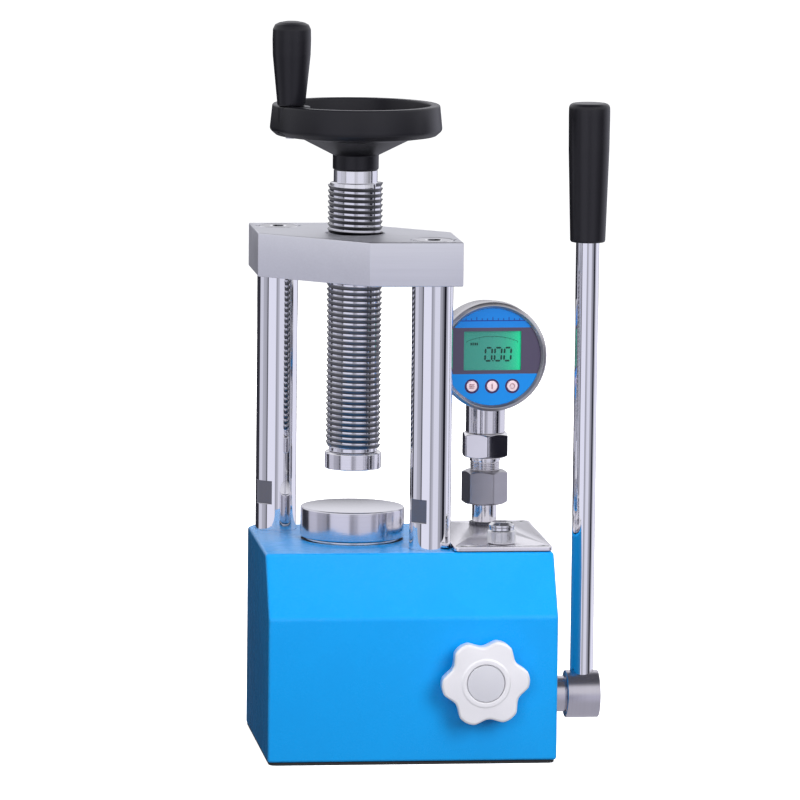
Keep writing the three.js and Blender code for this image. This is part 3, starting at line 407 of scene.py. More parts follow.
@dataclass(frozen=True)
class Blasted:
    """Metal with an even satin grain."""

    name: str
    colour: Colour
    roughness: float
    grain: float = 0.25
    fineness: float = 2600.0
    metal: float = 1.0

    def material(self) -> bpy.types.Material:
        """Build the material."""
        surface = Surface(self.name)
        grit = surface.noise(self.fineness, 2.0)
        cloud = surface.noise(60.0, 2.0)
        dark = tuple(0.9 * part for part in self.colour)
        surface.set(
            Base_Color=surface.tint((grit * 0.6 + cloud * 0.4).clamp(), dark, self.colour),
            Metallic=self.metal,
            Roughness=cloud * 0.08 + grit * 0.06 + (self.roughness - 0.07),
        )
        surface.bump(grit, 0.00005, self.grain)
        return surface.material


@dataclass(frozen=True)
class Moulded:
    """Plastic, rubber or phenolic with a fine moulded grain."""

    name: str
    colour: Colour
    roughness: float
    grain: float = 0.2
    fineness: float = 2200.0
    specular: float = 0.5

    def material(self) -> bpy.types.Material:
        """Build the material."""
        surface = Surface(self.name)
        grit = surface.noise(self.fineness, 2.0)
        cloud = surface.noise(45.0, 3.0)
        light = tuple(min(1.0, 1.25 * part) for part in self.colour)
        surface.set(
            Base_Color=surface.tint(cloud, self.colour, light),
            Roughness=cloud * 0.10 + (self.roughness - 0.05),
            Specular_IOR_Level=self.specular,
        )
        surface.bump(grit, 0.00005, self.grain)
        return surface.material


@dataclass(frozen=True)
class DialFilm:
    """Printed film of the gauge: blue above and below a dark band."""

    name: str
    middle: float
    band_low: float
    band_high: float
    blue: Colour = (0.012, 0.215, 0.690)
    low_blue: Colour = (0.008, 0.245, 0.740)
    band: Colour = (0.075, 0.062, 0.110)

    def material(self) -> bpy.types.Material:
        """Build the material."""
        surface = Surface(self.name)
        height = surface.axes()[2]
        lower = 1.0 - height.over(self.middle + self.band_low)
        inside = height.over(self.middle + self.band_low) - height.over(self.middle + self.band_high)
        grit = surface.noise(2400.0, 1.0)
        blues = surface.tint(lower, self.blue, self.low_blue)
        face = surface.graph.add(
            "ShaderNodeMix", {"data_type": "RGBA"}, {"Factor": inside, 6: blues, 7: (*self.band, 1.0)}
        )
        surface.set(
            Base_Color=face.outputs[2],
            Roughness=grit * 0.08 + 0.30,
            Specular_IOR_Level=0.45,
        )
        surface.bump(grit, 0.00002, 0.15)
        return surface.material


@dataclass(frozen=True)
class Backlight:
    """Lit display: green, paler towards the lamp at one side."""

    name: str
    left: float
    right: float
    deep: Colour = (0.054, 0.290, 0.245)
    bright: Colour = (0.016, 0.760, 0.350)
    glow: float = 0.26

    def material(self) -> bpy.types.Material:
        """Build the material."""
        surface = Surface(self.name)
        across = surface.axes()[0]
        share = ((across - self.left) / (self.right - self.left)).clamp()
        cells = surface.noise(900.0, 1.0)
        mask = (share ** 5.0 + cells * 0.05).clamp()
        tint = surface.tint(mask, self.deep, self.bright)
        surface.set(
            Base_Color=tint, Roughness=cells * 0.05 + 0.35, Emission_Color=tint,
            Emission_Strength=self.glow,
        )
        return surface.material


@dataclass(frozen=True)
class ClearWindow:
    """Clear display window."""

    name: str = "clear_window"

    def material(self) -> bpy.types.Material:
        """Build the material."""
        surface = Surface(self.name)
        smear = surface.noise(120.0, 2.0)
        surface.set(
            Base_Color=(0.02, 0.05, 0.04, 1.0),
            Roughness=smear * 0.06 + 0.02,
            Alpha=0.08,
            Specular_IOR_Level=0.5,
        )
        surface.material.surface_render_method = "BLENDED"
        return surface.material


# ---- mesh making


@dataclass(frozen=True)
class Box:
    """A CAD node's box at rest, in metres."""

    low: Vector
    high: Vector

    @classmethod
    def of(cls, node: str) -> "Box":
        """The box of one node."""
        low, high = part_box(node)
        return cls(Vector(low), Vector(high))

    @property
    def centre(self) -> Vector:
        """The middle of the box."""
        return (self.low + self.high) / 2

    @property
    def size(self) -> Vector:
        """The lengths of its sides."""
        return self.high - self.low

    @property
    def radius(self) -> float:
        """Half its width along X, in millimetres."""
        return self.size.x / 2 / MM

    @property
    def height(self) -> float:
        """Its height, in millimetres."""
        return self.size.z / MM

    @property
    def foot(self) -> Matrix:
        """The place at the middle of its lowest face."""
        return at(self.centre.x, self.centre.y, self.low.z)


def arc(centre: Point, radius: float, start: float, end: float, steps: int) -> list[Point]:
    """Points on an arc.

    Args:
        centre: its centre.
        radius: its radius.
        start: first angle, in radians.
        end: last angle, in radians.
        steps: number of chords.

    Returns:
        The points, both ends included.
    """
    points = []
    for index in range(steps + 1):
        angle = start + (end - start) * index / steps
        points.append((centre[0] + radius * math.cos(angle), centre[1] + radius * math.sin(angle)))
    return points


def rounded(corners: Sequence[tuple[float, ...]], closed: bool = False, steps: int = 4) -> list[Point]:
    """A line of points with its corners rounded.

    Args:
        corners: (x, y) or (x, y, radius) for each corner.
        closed: whether the last corner joins the first.
        steps: chords in each round.

    Returns:
        The rounded line.
    """
    line: list[Point] = []
    count = len(corners)
    for index, corner in enumerate(corners):
        here = Vector(corner[:2])
        radius = corner[2] if len(corner) > 2 else 0.0
        at_end = not closed and index in (0, count - 1)
        if radius <= 0.0 or at_end:
            line.append((here.x, here.y))
            continue
        before = Vector(corners[index - 1][:2]) - here
        after = Vector(corners[(index + 1) % count][:2]) - here
        turn = before.angle(after)
        reach = min(radius / math.tan(turn / 2), before.length * 0.49, after.length * 0.49)
        start = here + before.normalized() * reach
        end = here + after.normalized() * reach
        for step in range(steps + 1):
            share = step / steps
            first = start.lerp(here, share)
            second = here.lerp(end, share)
            point = first.lerp(second, share)
            line.append((point.x, point.y))
    return line


class Shape:
    """Vertices and faces of a piece, gathered in millimetres about the origin."""

    def __init__(self) -> None:
        """Start empty."""
        self.points: list[tuple[float, float, float]] = []
        self.faces: list[tuple[int, ...]] = []

    def revolve(self, profile: Callable[[float], Sequence[Point]], angles: Sequence[float]) -> "Shape":
        """Add a closed body turned about Z whose profile may change with the angle.

        Args:
            profile: (radius, z) points for an angle, the same number each time. It starts and
                ends on the axis, or closes on itself.
            angles: the angles, in radians, over one turn.

        Returns:
            This shape.
        """
        first = len(self.points)
        rows = [list(profile(angle)) for angle in angles]
        width = len(rows[0])
        for angle, row in zip(angles, rows):
            for radius, height in row:
                self.points.append((radius * math.cos(angle), radius * math.sin(angle), height))
        loops = rows[0][0][0] > 1e-9
        count = len(angles)
        for index in range(count):
            here = first + index * width
            there = first + ((index + 1) % count) * width
            for place in range(width if loops else width - 1):
                after = (place + 1) % width
                self.faces.append((here + place, there + place, there + after, here + after))
        return self

    def lathe(self, profile: Sequence[Point], sides: int = 96) -> "Shape":
        """Add a plain turned body about Z."""
        return self.revolve(lambda angle: profile, [TURN * index / sides for index in range(sides)])

    def plate(
        self, outer: Sequence[Point], holes: Sequence[Sequence[Point]], low: float, high: float,
        edge: float = 0.0, steps: int = 3,
    ) -> "Shape":
        """Add a flat plate with holes and rounded edges.

        Args:
            outer: its outline, anticlockwise.
            holes: outlines of its holes, clockwise.
            low: its lower height.
            high: its upper height.
            edge: the radius of its edges.
            steps: chords in each rounded edge.

        Returns:
            This shape.
        """
        levels = [(0.0, low), (0.0, high)]
        if edge > 0.0:
            quarter = [TURN / 4 * step / steps for step in range(steps + 1)]
            under = [(edge * (1 - math.sin(turn)), low + edge * (1 - math.cos(turn))) for turn in quarter]
            over = [(edge * (1 - math.cos(turn)), high - edge * (1 - math.sin(turn))) for turn in quarter]
            levels = under + over
        caps: list[list[list[int]]] = [[], []]
        for outline in [outer, *holes]:
            count = len(outline)
            start = len(self.points)
            for inset, height in levels:
                for index in range(count):
                    x, y = self._inset(outline, index, inset)
                    self.points.append((x, y, height))
            for level in range(len(levels) - 1):
                for index in range(count):
                    after = (index + 1) % count
                    a, b = start + level * count, start + (level + 1) * count
                    self.faces.append((a + index, a + after, b + after, b + index))
            caps[0].append([start + index for index in range(count)])
            caps[1].append([start + (len(levels) - 1) * count + index for index in range(count)])
        for side, loops in enumerate(caps):
            flat = [index for loop in loops for index in loop]
            outlines = [[Vector((*self.points[index][:2], 0.0)) for index in loop] for loop in loops]
            for triangle in tessellate_polygon(outlines):
                corners = [flat[corner] for corner in triangle]
                if self._area(corners) < 0.0:
                    corners.reverse()
                self.faces.append(tuple(corners if side else reversed(corners)))
        return self

    def _area(self, corners: Sequence[int]) -> float:
        """Twice the signed area of a triangle seen from above."""
        (ax, ay, _), (bx, by, _), (cx, cy, _) = [self.points[corner] for corner in corners]
        return (bx - ax) * (cy - ay) - (cx - ax) * (by - ay)

    @staticmethod
    def _inset(outline: Sequence[Point], index: int, inset: float) -> Point:
        """A corner of an outline moved inwards by its two edges."""
        here = Vector(outline[index])
        if inset == 0.0:
            return here.x, here.y
        before = (here - Vector(outline[index - 1])).normalized()
        after = (Vector(outline[(index + 1) % len(outline)]) - here).normalized()
        normal = Vector((-(before.y + after.y), before.x + after.x))
        if normal.length < 1e-6:
            return here.x, here.y
        normal.normalize()
        lean = max(0.35, normal.dot(Vector((-after.y, after.x))))
        moved = here + normal * (inset / lean)
        return moved.x, moved.y

    def bar(self, start: Point, end: Point, width: float, low: float, high: float) -> "Shape":
        """Add a straight bar with pointed ends, as a display segment has."""
        run = Vector(end) - Vector(start)
        along = run.normalized()
        across = Vector((-along.y, along.x)) * width / 2
        tip = along * width / 2
        first, last = Vector(start), Vector(end)
        outline = [first, first + tip - across, last - tip - across, last, last - tip + across,
                   first + tip + across]
        return self.plate([(point.x, point.y) for point in outline], [], low, high)

    def mesh(self, name: str, place: Matrix) -> bpy.types.Mesh:
        """Make the mesh, in metres, with its faces outwards and its sharp edges marked.

        Args:
            name: the mesh's name.
            place: where the shape goes, in metres.

        Returns:
            The mesh.
        """
        mesh = bpy.data.meshes.new(name)
        mesh.from_pydata([Vector(point) * MM for point in self.points], [], self.faces)
        tidy(mesh)
        mesh.transform(place)
        mesh.update()
        return mesh


def tidy(mesh: bpy.types.Mesh, weld: float = 2e-6) -> None:
    """Weld doubles, drop empty faces, point faces outwards and mark sharp edges."""
    work = bmesh.new()
    work.from_mesh(mesh)
    bmesh.ops.remove_doubles(work, verts=work.verts, dist=weld)
    bmesh.ops.dissolve_degenerate(work, edges=work.edges, dist=weld / 2)
    bmesh.ops.recalc_face_normals(work, faces=work.faces)
    for face in work.faces:
        face.smooth = True
    for edge in work.edges:
        edge.smooth = len(edge.link_faces) == 2 and edge.calc_face_angle(0.0) < SHARP_ANGLE
    work.to_mesh(mesh)
    work.free()


def at(x: float, y: float, z: float) -> Matrix:
    """A move, in metres."""
    return Matrix.Translation((x, y, z))


def joined(name: str, meshes: Sequence[bpy.types.Mesh]) -> bpy.types.Mesh:
    """Several meshes as one."""
    work = bmesh.new()
    for mesh in meshes:
        work.from_mesh(mesh)
    result = bpy.data.meshes.new(name)
    work.to_mesh(result)
    work.free()
    return result


def cut(name: str, mesh: bpy.types.Mesh, cutters: Sequence[bpy.types.Mesh]) -> bpy.types.Mesh:
    """Cut closed meshes out of a mesh.

    Args:
        name: the result's name.
        mesh: the mesh to cut.
        cutters: what is taken away.

    Returns:
        The mesh that is left.
    """
    scene = bpy.context.scene
    body = bpy.data.objects.new(name, mesh)
    scene.collection.objects.link(body)
    tools = []
    for index, cutter in enumerate(cutters):
        tool = bpy.data.objects.new(f"{name}_tool_{index}", cutter)
        scene.collection.objects.link(tool)
        modifier = body.modifiers.new(tool.name, "BOOLEAN")
        modifier.operation = "DIFFERENCE"
        modifier.solver = "EXACT"
        modifier.object = tool
        tools.append(tool)
    result = baked(name, body)
    for thing in [body, *tools]:
        bpy.data.objects.remove(thing)
    tidy(result)
    return result


def baked(name: str, thing: bpy.types.Object) -> bpy.types.Mesh:
    """The object's evaluated mesh as a plain mesh of its own."""
    bpy.context.view_layer.update()
    depsgraph = bpy.context.evaluated_depsgraph_get()
    result = bpy.data.meshes.new_from_object(thing.evaluated_get(depsgraph))
    result.name = name
    return result


def circle(
    radius: float, sides: int = 64, centre: Point = (0.0, 0.0), clockwise: bool = False,
) -> list[Point]:
    """A circle as an outline."""
    points = [
        (centre[0] + radius * math.cos(TURN * index / sides),
         centre[1] + radius * math.sin(TURN * index / sides))
        for index in range(sides)
    ]
    return points[::-1] if clockwise else points


def rectangle(left: float, front: float, right: float, back: float, corner: float) -> list[Point]:
    """A rectangle with rounded corners, anticlockwise."""
    return rounded(
        [(left, front, corner), (right, front, corner), (right, back, corner), (left, back, corner)],
        closed=True, steps=5,
    )


FACE_FRONT = Matrix.Rotation(math.radians(90.0), 4, "X")
FACE_RIGHT = Matrix.Rotation(math.radians(90.0), 4, "Y")


class Workshop:
    """Turns meshes into dressed pieces of the press."""

    def __init__(self) -> None:
        """Start with no materials made."""
        self.materials: dict[str, bpy.types.Material] = {}

    def finish(self, finish: Any) -> bpy.types.Material:
        """The material of a finish, made once."""
        if finish.name not in self.materials:
            self.materials[finish.name] = finish.material()
        return self.materials[finish.name]

    def piece(
        self, name: str, mesh: bpy.types.Mesh, finish: Any, body: str,
        stands_for: Sequence[str] = (),
    ) -> bpy.types.Object:
        """Make one piece.

        Args:
            name: its name.
            mesh: its mesh, in place.
            finish: its finish.
            body: the CAD body it rides on.
            stands_for: the CAD nodes it replaces.

        Returns:
            The object.
        """
        mesh.materials.clear()
        mesh.materials.append(self.finish(finish))
        for polygon in mesh.polygons:
            polygon.material_index = 0
        thing = bpy.data.objects.new(name, mesh)
        bpy.context.scene.collection.objects.link(thing)
        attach(thing, body)
        if stands_for:
            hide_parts(*stands_for)
        log.info("%s: %d faces on %s", name, len(mesh.polygons), body)
        return thing

    def turned(
        self, name: str, profile: Sequence[Point], sides: int, place: Matrix, finish: Any, body: str,
        slot: str, *stands_for: str,
    ) -> None:
        """Make one piece that is turned about its own Z.

        Args:
            name: its name.
            profile: its section, as (radius, z) points in millimetres.
            sides: points round it.
            place: where it goes, in metres.
            finish: its finish.
            body: the CAD body it rides on.
            slot: not used.
            stands_for: the CAD nodes it replaces.
        """
        self.piece(name, Shape().lathe(profile, sides).mesh(name, place), finish, body, stands_for)

    def dress(self, frame: dict[str, Any], finish: Any, *nodes: str) -> None:
        """Give carried-over CAD nodes a finish."""
        for node in nodes:
            slots = frame["nodes"][node].material_slots
            for slot in slots:
                slot.material = self.finish(finish)
            log.info("%s: carried over", node)


# ---- repeats


class Repeats:
    """Geometry node trees for what repeats or follows a path."""

    @staticmethod
    def _tree(name: str, sizes: dict[str, float | int]) -> tuple[Graph, bpy.types.Node, bpy.types.Node]:
        """Start a tree with named sizes.

        Args:
            name: the tree's name.
            sizes: each input's name and value, whole numbers for counts.

        Returns:
            The graph, its input node and its output node.
        """
        tree = bpy.data.node_groups.new(name, "GeometryNodeTree")
        tree.interface.new_socket("Geometry", in_out="INPUT", socket_type="NodeSocketGeometry")
        for label, value in sizes.items():
            kind = "NodeSocketInt" if isinstance(value, int) else "NodeSocketFloat"
            tree.interface.new_socket(label, in_out="INPUT", socket_type=kind)
        tree.interface.new_socket("Material", in_out="INPUT", socket_type="NodeSocketMaterial")
        tree.interface.new_socket("Geometry", in_out="OUTPUT", socket_type="NodeSocketGeometry")
        graph = Graph(tree)
        return graph, graph.add("NodeGroupInput"), graph.add("NodeGroupOutput")

    @staticmethod
    def _close(graph: Graph, entry: bpy.types.Node, leave: bpy.types.Node, last: Any) -> None:
        """End a tree in Realize Instances and Set Material."""
        real = graph.add("GeometryNodeRealizeInstances", inputs={0: last})
        dressed = graph.add(
            "GeometryNodeSetMaterial",
            inputs={"Geometry": real.outputs[0], "Material": entry.outputs["Material"]},
        )
        graph.tree.links.new(dressed.outputs[0], leave.inputs[0])

    @staticmethod
    def _bake(
        name: str, tree: bpy.types.NodeTree, sizes: dict[str, float | int],
        material: bpy.types.Material, host: bpy.types.Mesh | None = None,
    ) -> bpy.types.Mesh:
        """Run a tree on a host mesh and keep the result as a plain mesh."""
        thing = bpy.data.objects.new(name, host or bpy.data.meshes.new(f"{name}_host"))
        bpy.context.scene.collection.objects.link(thing)
        modifier = thing.modifiers.new(name, "NODES")
        modifier.node_group = tree
        for item in tree.interface.items_tree:
            if item.in_out == "INPUT" and item.name in sizes:
                modifier[item.identifier] = sizes[item.name]
            if item.in_out == "INPUT" and item.name == "Material":
                modifier[item.identifier] = material
        result = baked(name, thing)
        thing.modifiers.remove(modifier)
        bpy.data.objects.remove(thing)
        return result

    @classmethod
    def thread(
        cls, name: str, material: bpy.types.Material, root: float, crest: float, pitch: float,
        length: float, sides: int = 72,
    ) -> bpy.types.Mesh:
        """A ridge wound round a core, fading out at both ends.

        Args:
            name: the mesh's name.
            material: its material.
            root: radius at the foot of the ridge, in millimetres.
            crest: radius at its top.
            pitch: rise of one turn.
            length: threaded length.
            sides: points in one turn.

        Returns:
            The ridge, from z = 0 up, in metres.
        """
        sizes: dict[str, float | int] = {
            "Turns": length / pitch, "Radius": root * MM, "Height": length * MM,
            "Depth": (crest - root) * MM, "Foot Width": pitch * 0.86 * MM,
            "Crest Width": pitch * 0.17 * MM, "Points": sides,
        }
        graph, entry, leave = cls._tree(f"{name}_tree", sizes)
        out = entry.outputs
        spiral = graph.add(
            "GeometryNodeCurveSpiral",
            inputs={"Resolution": out["Points"], "Rotations": out["Turns"], "Start Radius": out["Radius"],
                    "End Radius": out["Radius"], "Height": out["Height"]},
        )
        upright = graph.add(
            "GeometryNodeSetCurveNormal", {"mode": "Z_UP"}, {"Curve": spiral.outputs[0]}
        )
        factor = graph.value(graph.add("GeometryNodeSplineParameter").outputs["Factor"])
        turns = graph.value(out["Turns"])
        fade = (factor * turns).minimum((1.0 - factor) * turns).clamp()
        faded = graph.add(
            "GeometryNodeSetCurveRadius", inputs={"Curve": upright.outputs[0], "Radius": fade}
        )
        tooth = graph.add(
            "GeometryNodeCurvePrimitiveQuadrilateral", {"mode": "TRAPEZOID"},
            {"Height": out["Depth"], "Bottom Width": out["Foot Width"], "Top Width": out["Crest Width"],
             "Offset": 0.0},
        )
        ridge = graph.add(
            "GeometryNodeCurveToMesh",
            inputs={"Curve": faded.outputs[0], "Profile Curve": tooth.outputs[0], "Fill Caps": True},
        )
        cls._close(graph, entry, leave, ridge.outputs[0])
        return cls._bake(name, graph.tree, sizes, material)

    @classmethod
    def knurl(
        cls, name: str, material: bpy.types.Material, radius: float, height: float,
        columns: int, rows: int, proud: float,
    ) -> bpy.types.Mesh:
        """Diamonds over the side of a drum, every other row half a step round.

        Args:
            name: the mesh's name.
            material: its material.
            radius: the drum's radius, in millimetres.
            height: the height that the diamonds cover.
            columns: diamonds round the drum.
            rows: rows of them.
            proud: how far their points stand out.

        Returns:
            The diamonds, from z = 0 up, in metres.
        """
        sizes: dict[str, float | int] = {
            "Radius": radius * MM, "Height": height * MM, "Columns": columns, "Rows": rows,
            "Proud": proud * MM, "Half Width": math.pi * radius / columns * MM,
        }
        graph, entry, leave = cls._tree(f"{name}_tree", sizes)
        out = entry.outputs
        index = graph.value(graph.add("GeometryNodeInputIndex").outputs[0])
        columns_value, rows_value = graph.value(out["Columns"]), graph.value(out["Rows"])
        total = columns_value * rows_value
        cloud = graph.add("GeometryNodePoints", inputs={"Count": total})
        row = (index / columns_value).math("FLOOR")
        column = index - row * columns_value
        stagger = row.math("MODULO", 2.0) * 0.5
        angle = (column + stagger) / columns_value * TURN
        level = (row + 0.5) / rows_value * graph.value(out["Height"])
        radial = graph.value(out["Radius"])
        cosine, sine = angle.math("COSINE"), angle.math("SINE")
        place = graph.add(
            "ShaderNodeCombineXYZ", inputs={0: cosine * radial, 1: sine * radial, 2: level}
        )
        placed = graph.add(
            "GeometryNodeSetPosition", inputs={"Geometry": cloud.outputs[0], "Position": place.outputs[0]}
        )
        outward = graph.add("ShaderNodeCombineXYZ", inputs={0: cosine, 1: sine, 2: 0.0})
        facing = graph.add(
            "FunctionNodeAlignRotationToVector", {"axis": "Z"}, {"Vector": outward.outputs[0]}
        )
        diamond = graph.add(
            "GeometryNodeMeshCone",
            inputs={"Vertices": 4, "Radius Top": 0.0, "Radius Bottom": out["Half Width"],
                    "Depth": out["Proud"]},
        )
        copies = graph.add(
            "GeometryNodeInstanceOnPoints",
            inputs={"Points": placed.outputs[0], "Instance": diamond.outputs[0],
                    "Rotation": facing.outputs[0]},
        )
        cls._close(graph, entry, leave, copies.outputs[0])
        return cls._bake(name, graph.tree, sizes, material)

    @classmethod
    def copies(
        cls, name: str, material: bpy.types.Material, single: bpy.types.Mesh, places: Sequence[Vector],
        turn: float = 0.0,
    ) -> bpy.types.Mesh:
        """Copies of one mesh at each place, each turned a little further than the last.

        Args:
            name: the mesh's name.
            material: its material.
            single: the mesh to repeat, about the origin.
            places: where the copies go, in metres.
            turn: the extra turn of each copy about Z, in radians.

        Returns:
            All the copies as one mesh.
        """
        host = bpy.data.meshes.new(f"{name}_places")
        host.from_pydata([tuple(place) for place in places], [], [])
        model = bpy.data.objects.new(f"{name}_single", single)
        bpy.context.scene.collection.objects.link(model)
        sizes: dict[str, float | int] = {"Turn": float(turn)}
        graph, entry, leave = cls._tree(f"{name}_tree", sizes)
        source = graph.add("GeometryNodeObjectInfo", inputs={"Object": model})
        index = graph.value(graph.add("GeometryNodeInputIndex").outputs[0])
        spin = graph.add(
            "ShaderNodeCombineXYZ", inputs={2: index * graph.value(entry.outputs["Turn"])}
        )
        copies = graph.add(
            "GeometryNodeInstanceOnPoints",
            inputs={"Points": entry.outputs["Geometry"], "Instance": source.outputs["Geometry"],
                    "Rotation": spin.outputs[0]},
        )
        cls._close(graph, entry, leave, copies.outputs[0])
        result = cls._bake(name, graph.tree, sizes, material, host)
        bpy.data.objects.remove(model)
        return result


# ---- base


@dataclass
class Base:
    """The painted casting and the mat under it."""

    crease: float = 107.0
    slope_run: float = 28.5
    back_lean: float = 2.0
    edge: float = 2.2
    corner_x: float = 6.0
    corner_y: float = 12.0
    ram_bore: float = 35.4
    wiper_bore: float = 37.5
    wiper_depth: float = 6.0
    ram_floor: float = 40.0
    column_bore: float = 15.3
    column_depth: float = 42.0
    bush_bore: float = 13.3
    gland_bore: float = 8.3
    riser_bore: float = 6.8
    riser_depth: float = 18.3
    pocket_floor: float = 12.0
    mat_corner: float = 6.0
    mat_edge: float = 0.5

    def build(self, shop: Workshop) -> None:
        """Build the casting and the mat."""
        shop.piece("casting", self._casting(), Enamel(), "frame", ["base_casting"])
        box = Box.of("base_mat")
        low, high = box.low / MM, box.high / MM
        outline = rectangle(low.x, low.y, high.x, high.y, self.mat_corner)
        mat = Shape().plate(outline, [], low.z, high.z, self.mat_edge).mesh("mat", Matrix())
        rubber = Moulded("mat_rubber", (0.02, 0.02, 0.022), 0.8)
        shop.piece("mat", mat, rubber, "frame", ["base_mat"])

    def _block(self, low: Vector, high: Vector) -> bpy.types.Mesh:
        """The casting's outside with all its edges rounded."""
        side = [
            (low.y, low.z), (high.y, low.z), (high.y - self.back_lean, high.z),
            (low.y + self.slope_run, high.z), (low.y, self.crease),
        ]
        work = bmesh.new()
        ends = [[work.verts.new((x, y, z)) for y, z in side] for x in (low.x, high.x)]
        work.faces.new(ends[0][::-1])
        work.faces.new(ends[1])
        for index in range(len(side)):
            after = (index + 1) % len(side)
            work.faces.new((ends[0][index], ends[0][after], ends[1][after], ends[1][index]))
        everything = [*work.verts, *work.edges, *work.faces]
        at_corner = Vector((low.x + self.corner_x, high.y, 0.0))
        across = Vector((-self.corner_y, self.corner_x, 0.0)).normalized()
        bmesh.ops.bisect_plane(work, geom=everything, plane_co=at_corner, plane_no=across, clear_outer=True)
        bmesh.ops.holes_fill(work, edges=work.edges)
        bmesh.ops.recalc_face_normals(work, faces=work.faces)
        bmesh.ops.bevel(
            work, geom=list(work.edges), offset=self.edge, segments=5, profile=0.5, affect="EDGES",
            clamp_overlap=True,
        )
        mesh = bpy.data.meshes.new("casting_block")
        work.to_mesh(mesh)
        work.free()
        mesh.transform(Matrix.Scale(MM, 4))
        return mesh

    def _casting(self) -> bpy.types.Mesh:
        """The casting with its bores and its oil space."""
        box = Box.of("base_casting")
        low, high = box.low / MM, box.high / MM
        top = high.z
        tools = [Shape().lathe([(0, self.ram_floor), (self.ram_bore, self.ram_floor),
                                (self.ram_bore, top - self.wiper_depth),
                                (self.wiper_bore, top - self.wiper_depth), (self.wiper_bore, top + 1),
                                (0, top + 1)]).mesh("ram_tool", Matrix())]
        for node in ("column_left", "column_right"):
            place = Box.of(node).centre
            upright = at(place.x, place.y, 0)
            tools.append(self._drill(self.column_bore, top - self.column_depth, top + 1, upright))
        riser = Box.of("riser_tube").centre
        upright = at(riser.x, riser.y, 0)
        tools.append(self._drill(self.riser_bore, top - self.riser_depth, top + 1, upright))
        pocket = rectangle(*OIL_POCKET, OIL_POCKET_CORNER)
        tools.append(Shape().plate(pocket, [], self.pocket_floor, top + 1).mesh("pocket_tool", Matrix()))
        shaft = Box.of("shaft_bush").centre
        along_x = at(0, shaft.y, shaft.z) @ FACE_RIGHT
        tools.append(self._drill(self.bush_bore, OIL_POCKET[2] - 1, high.x + 1, along_x))
        valve = Box.of("valve_gland").centre
        along_y = at(valve.x, 0, valve.z) @ FACE_FRONT
        tools.append(self._drill(self.gland_bore, -OIL_POCKET[1] - 1, -low.y + 1, along_y))
        return cut("casting", self._block(low, high), tools)

    @staticmethod
    def _drill(radius: float, low: float, high: float, place: Matrix) -> bpy.types.Mesh:
        """A plain drill of a radius between two depths along Z."""
        return Shape().lathe([(0, low), (radius, low), (radius, high), (0, high)], 64).mesh("drill", place)


# ---- columns and crosshead


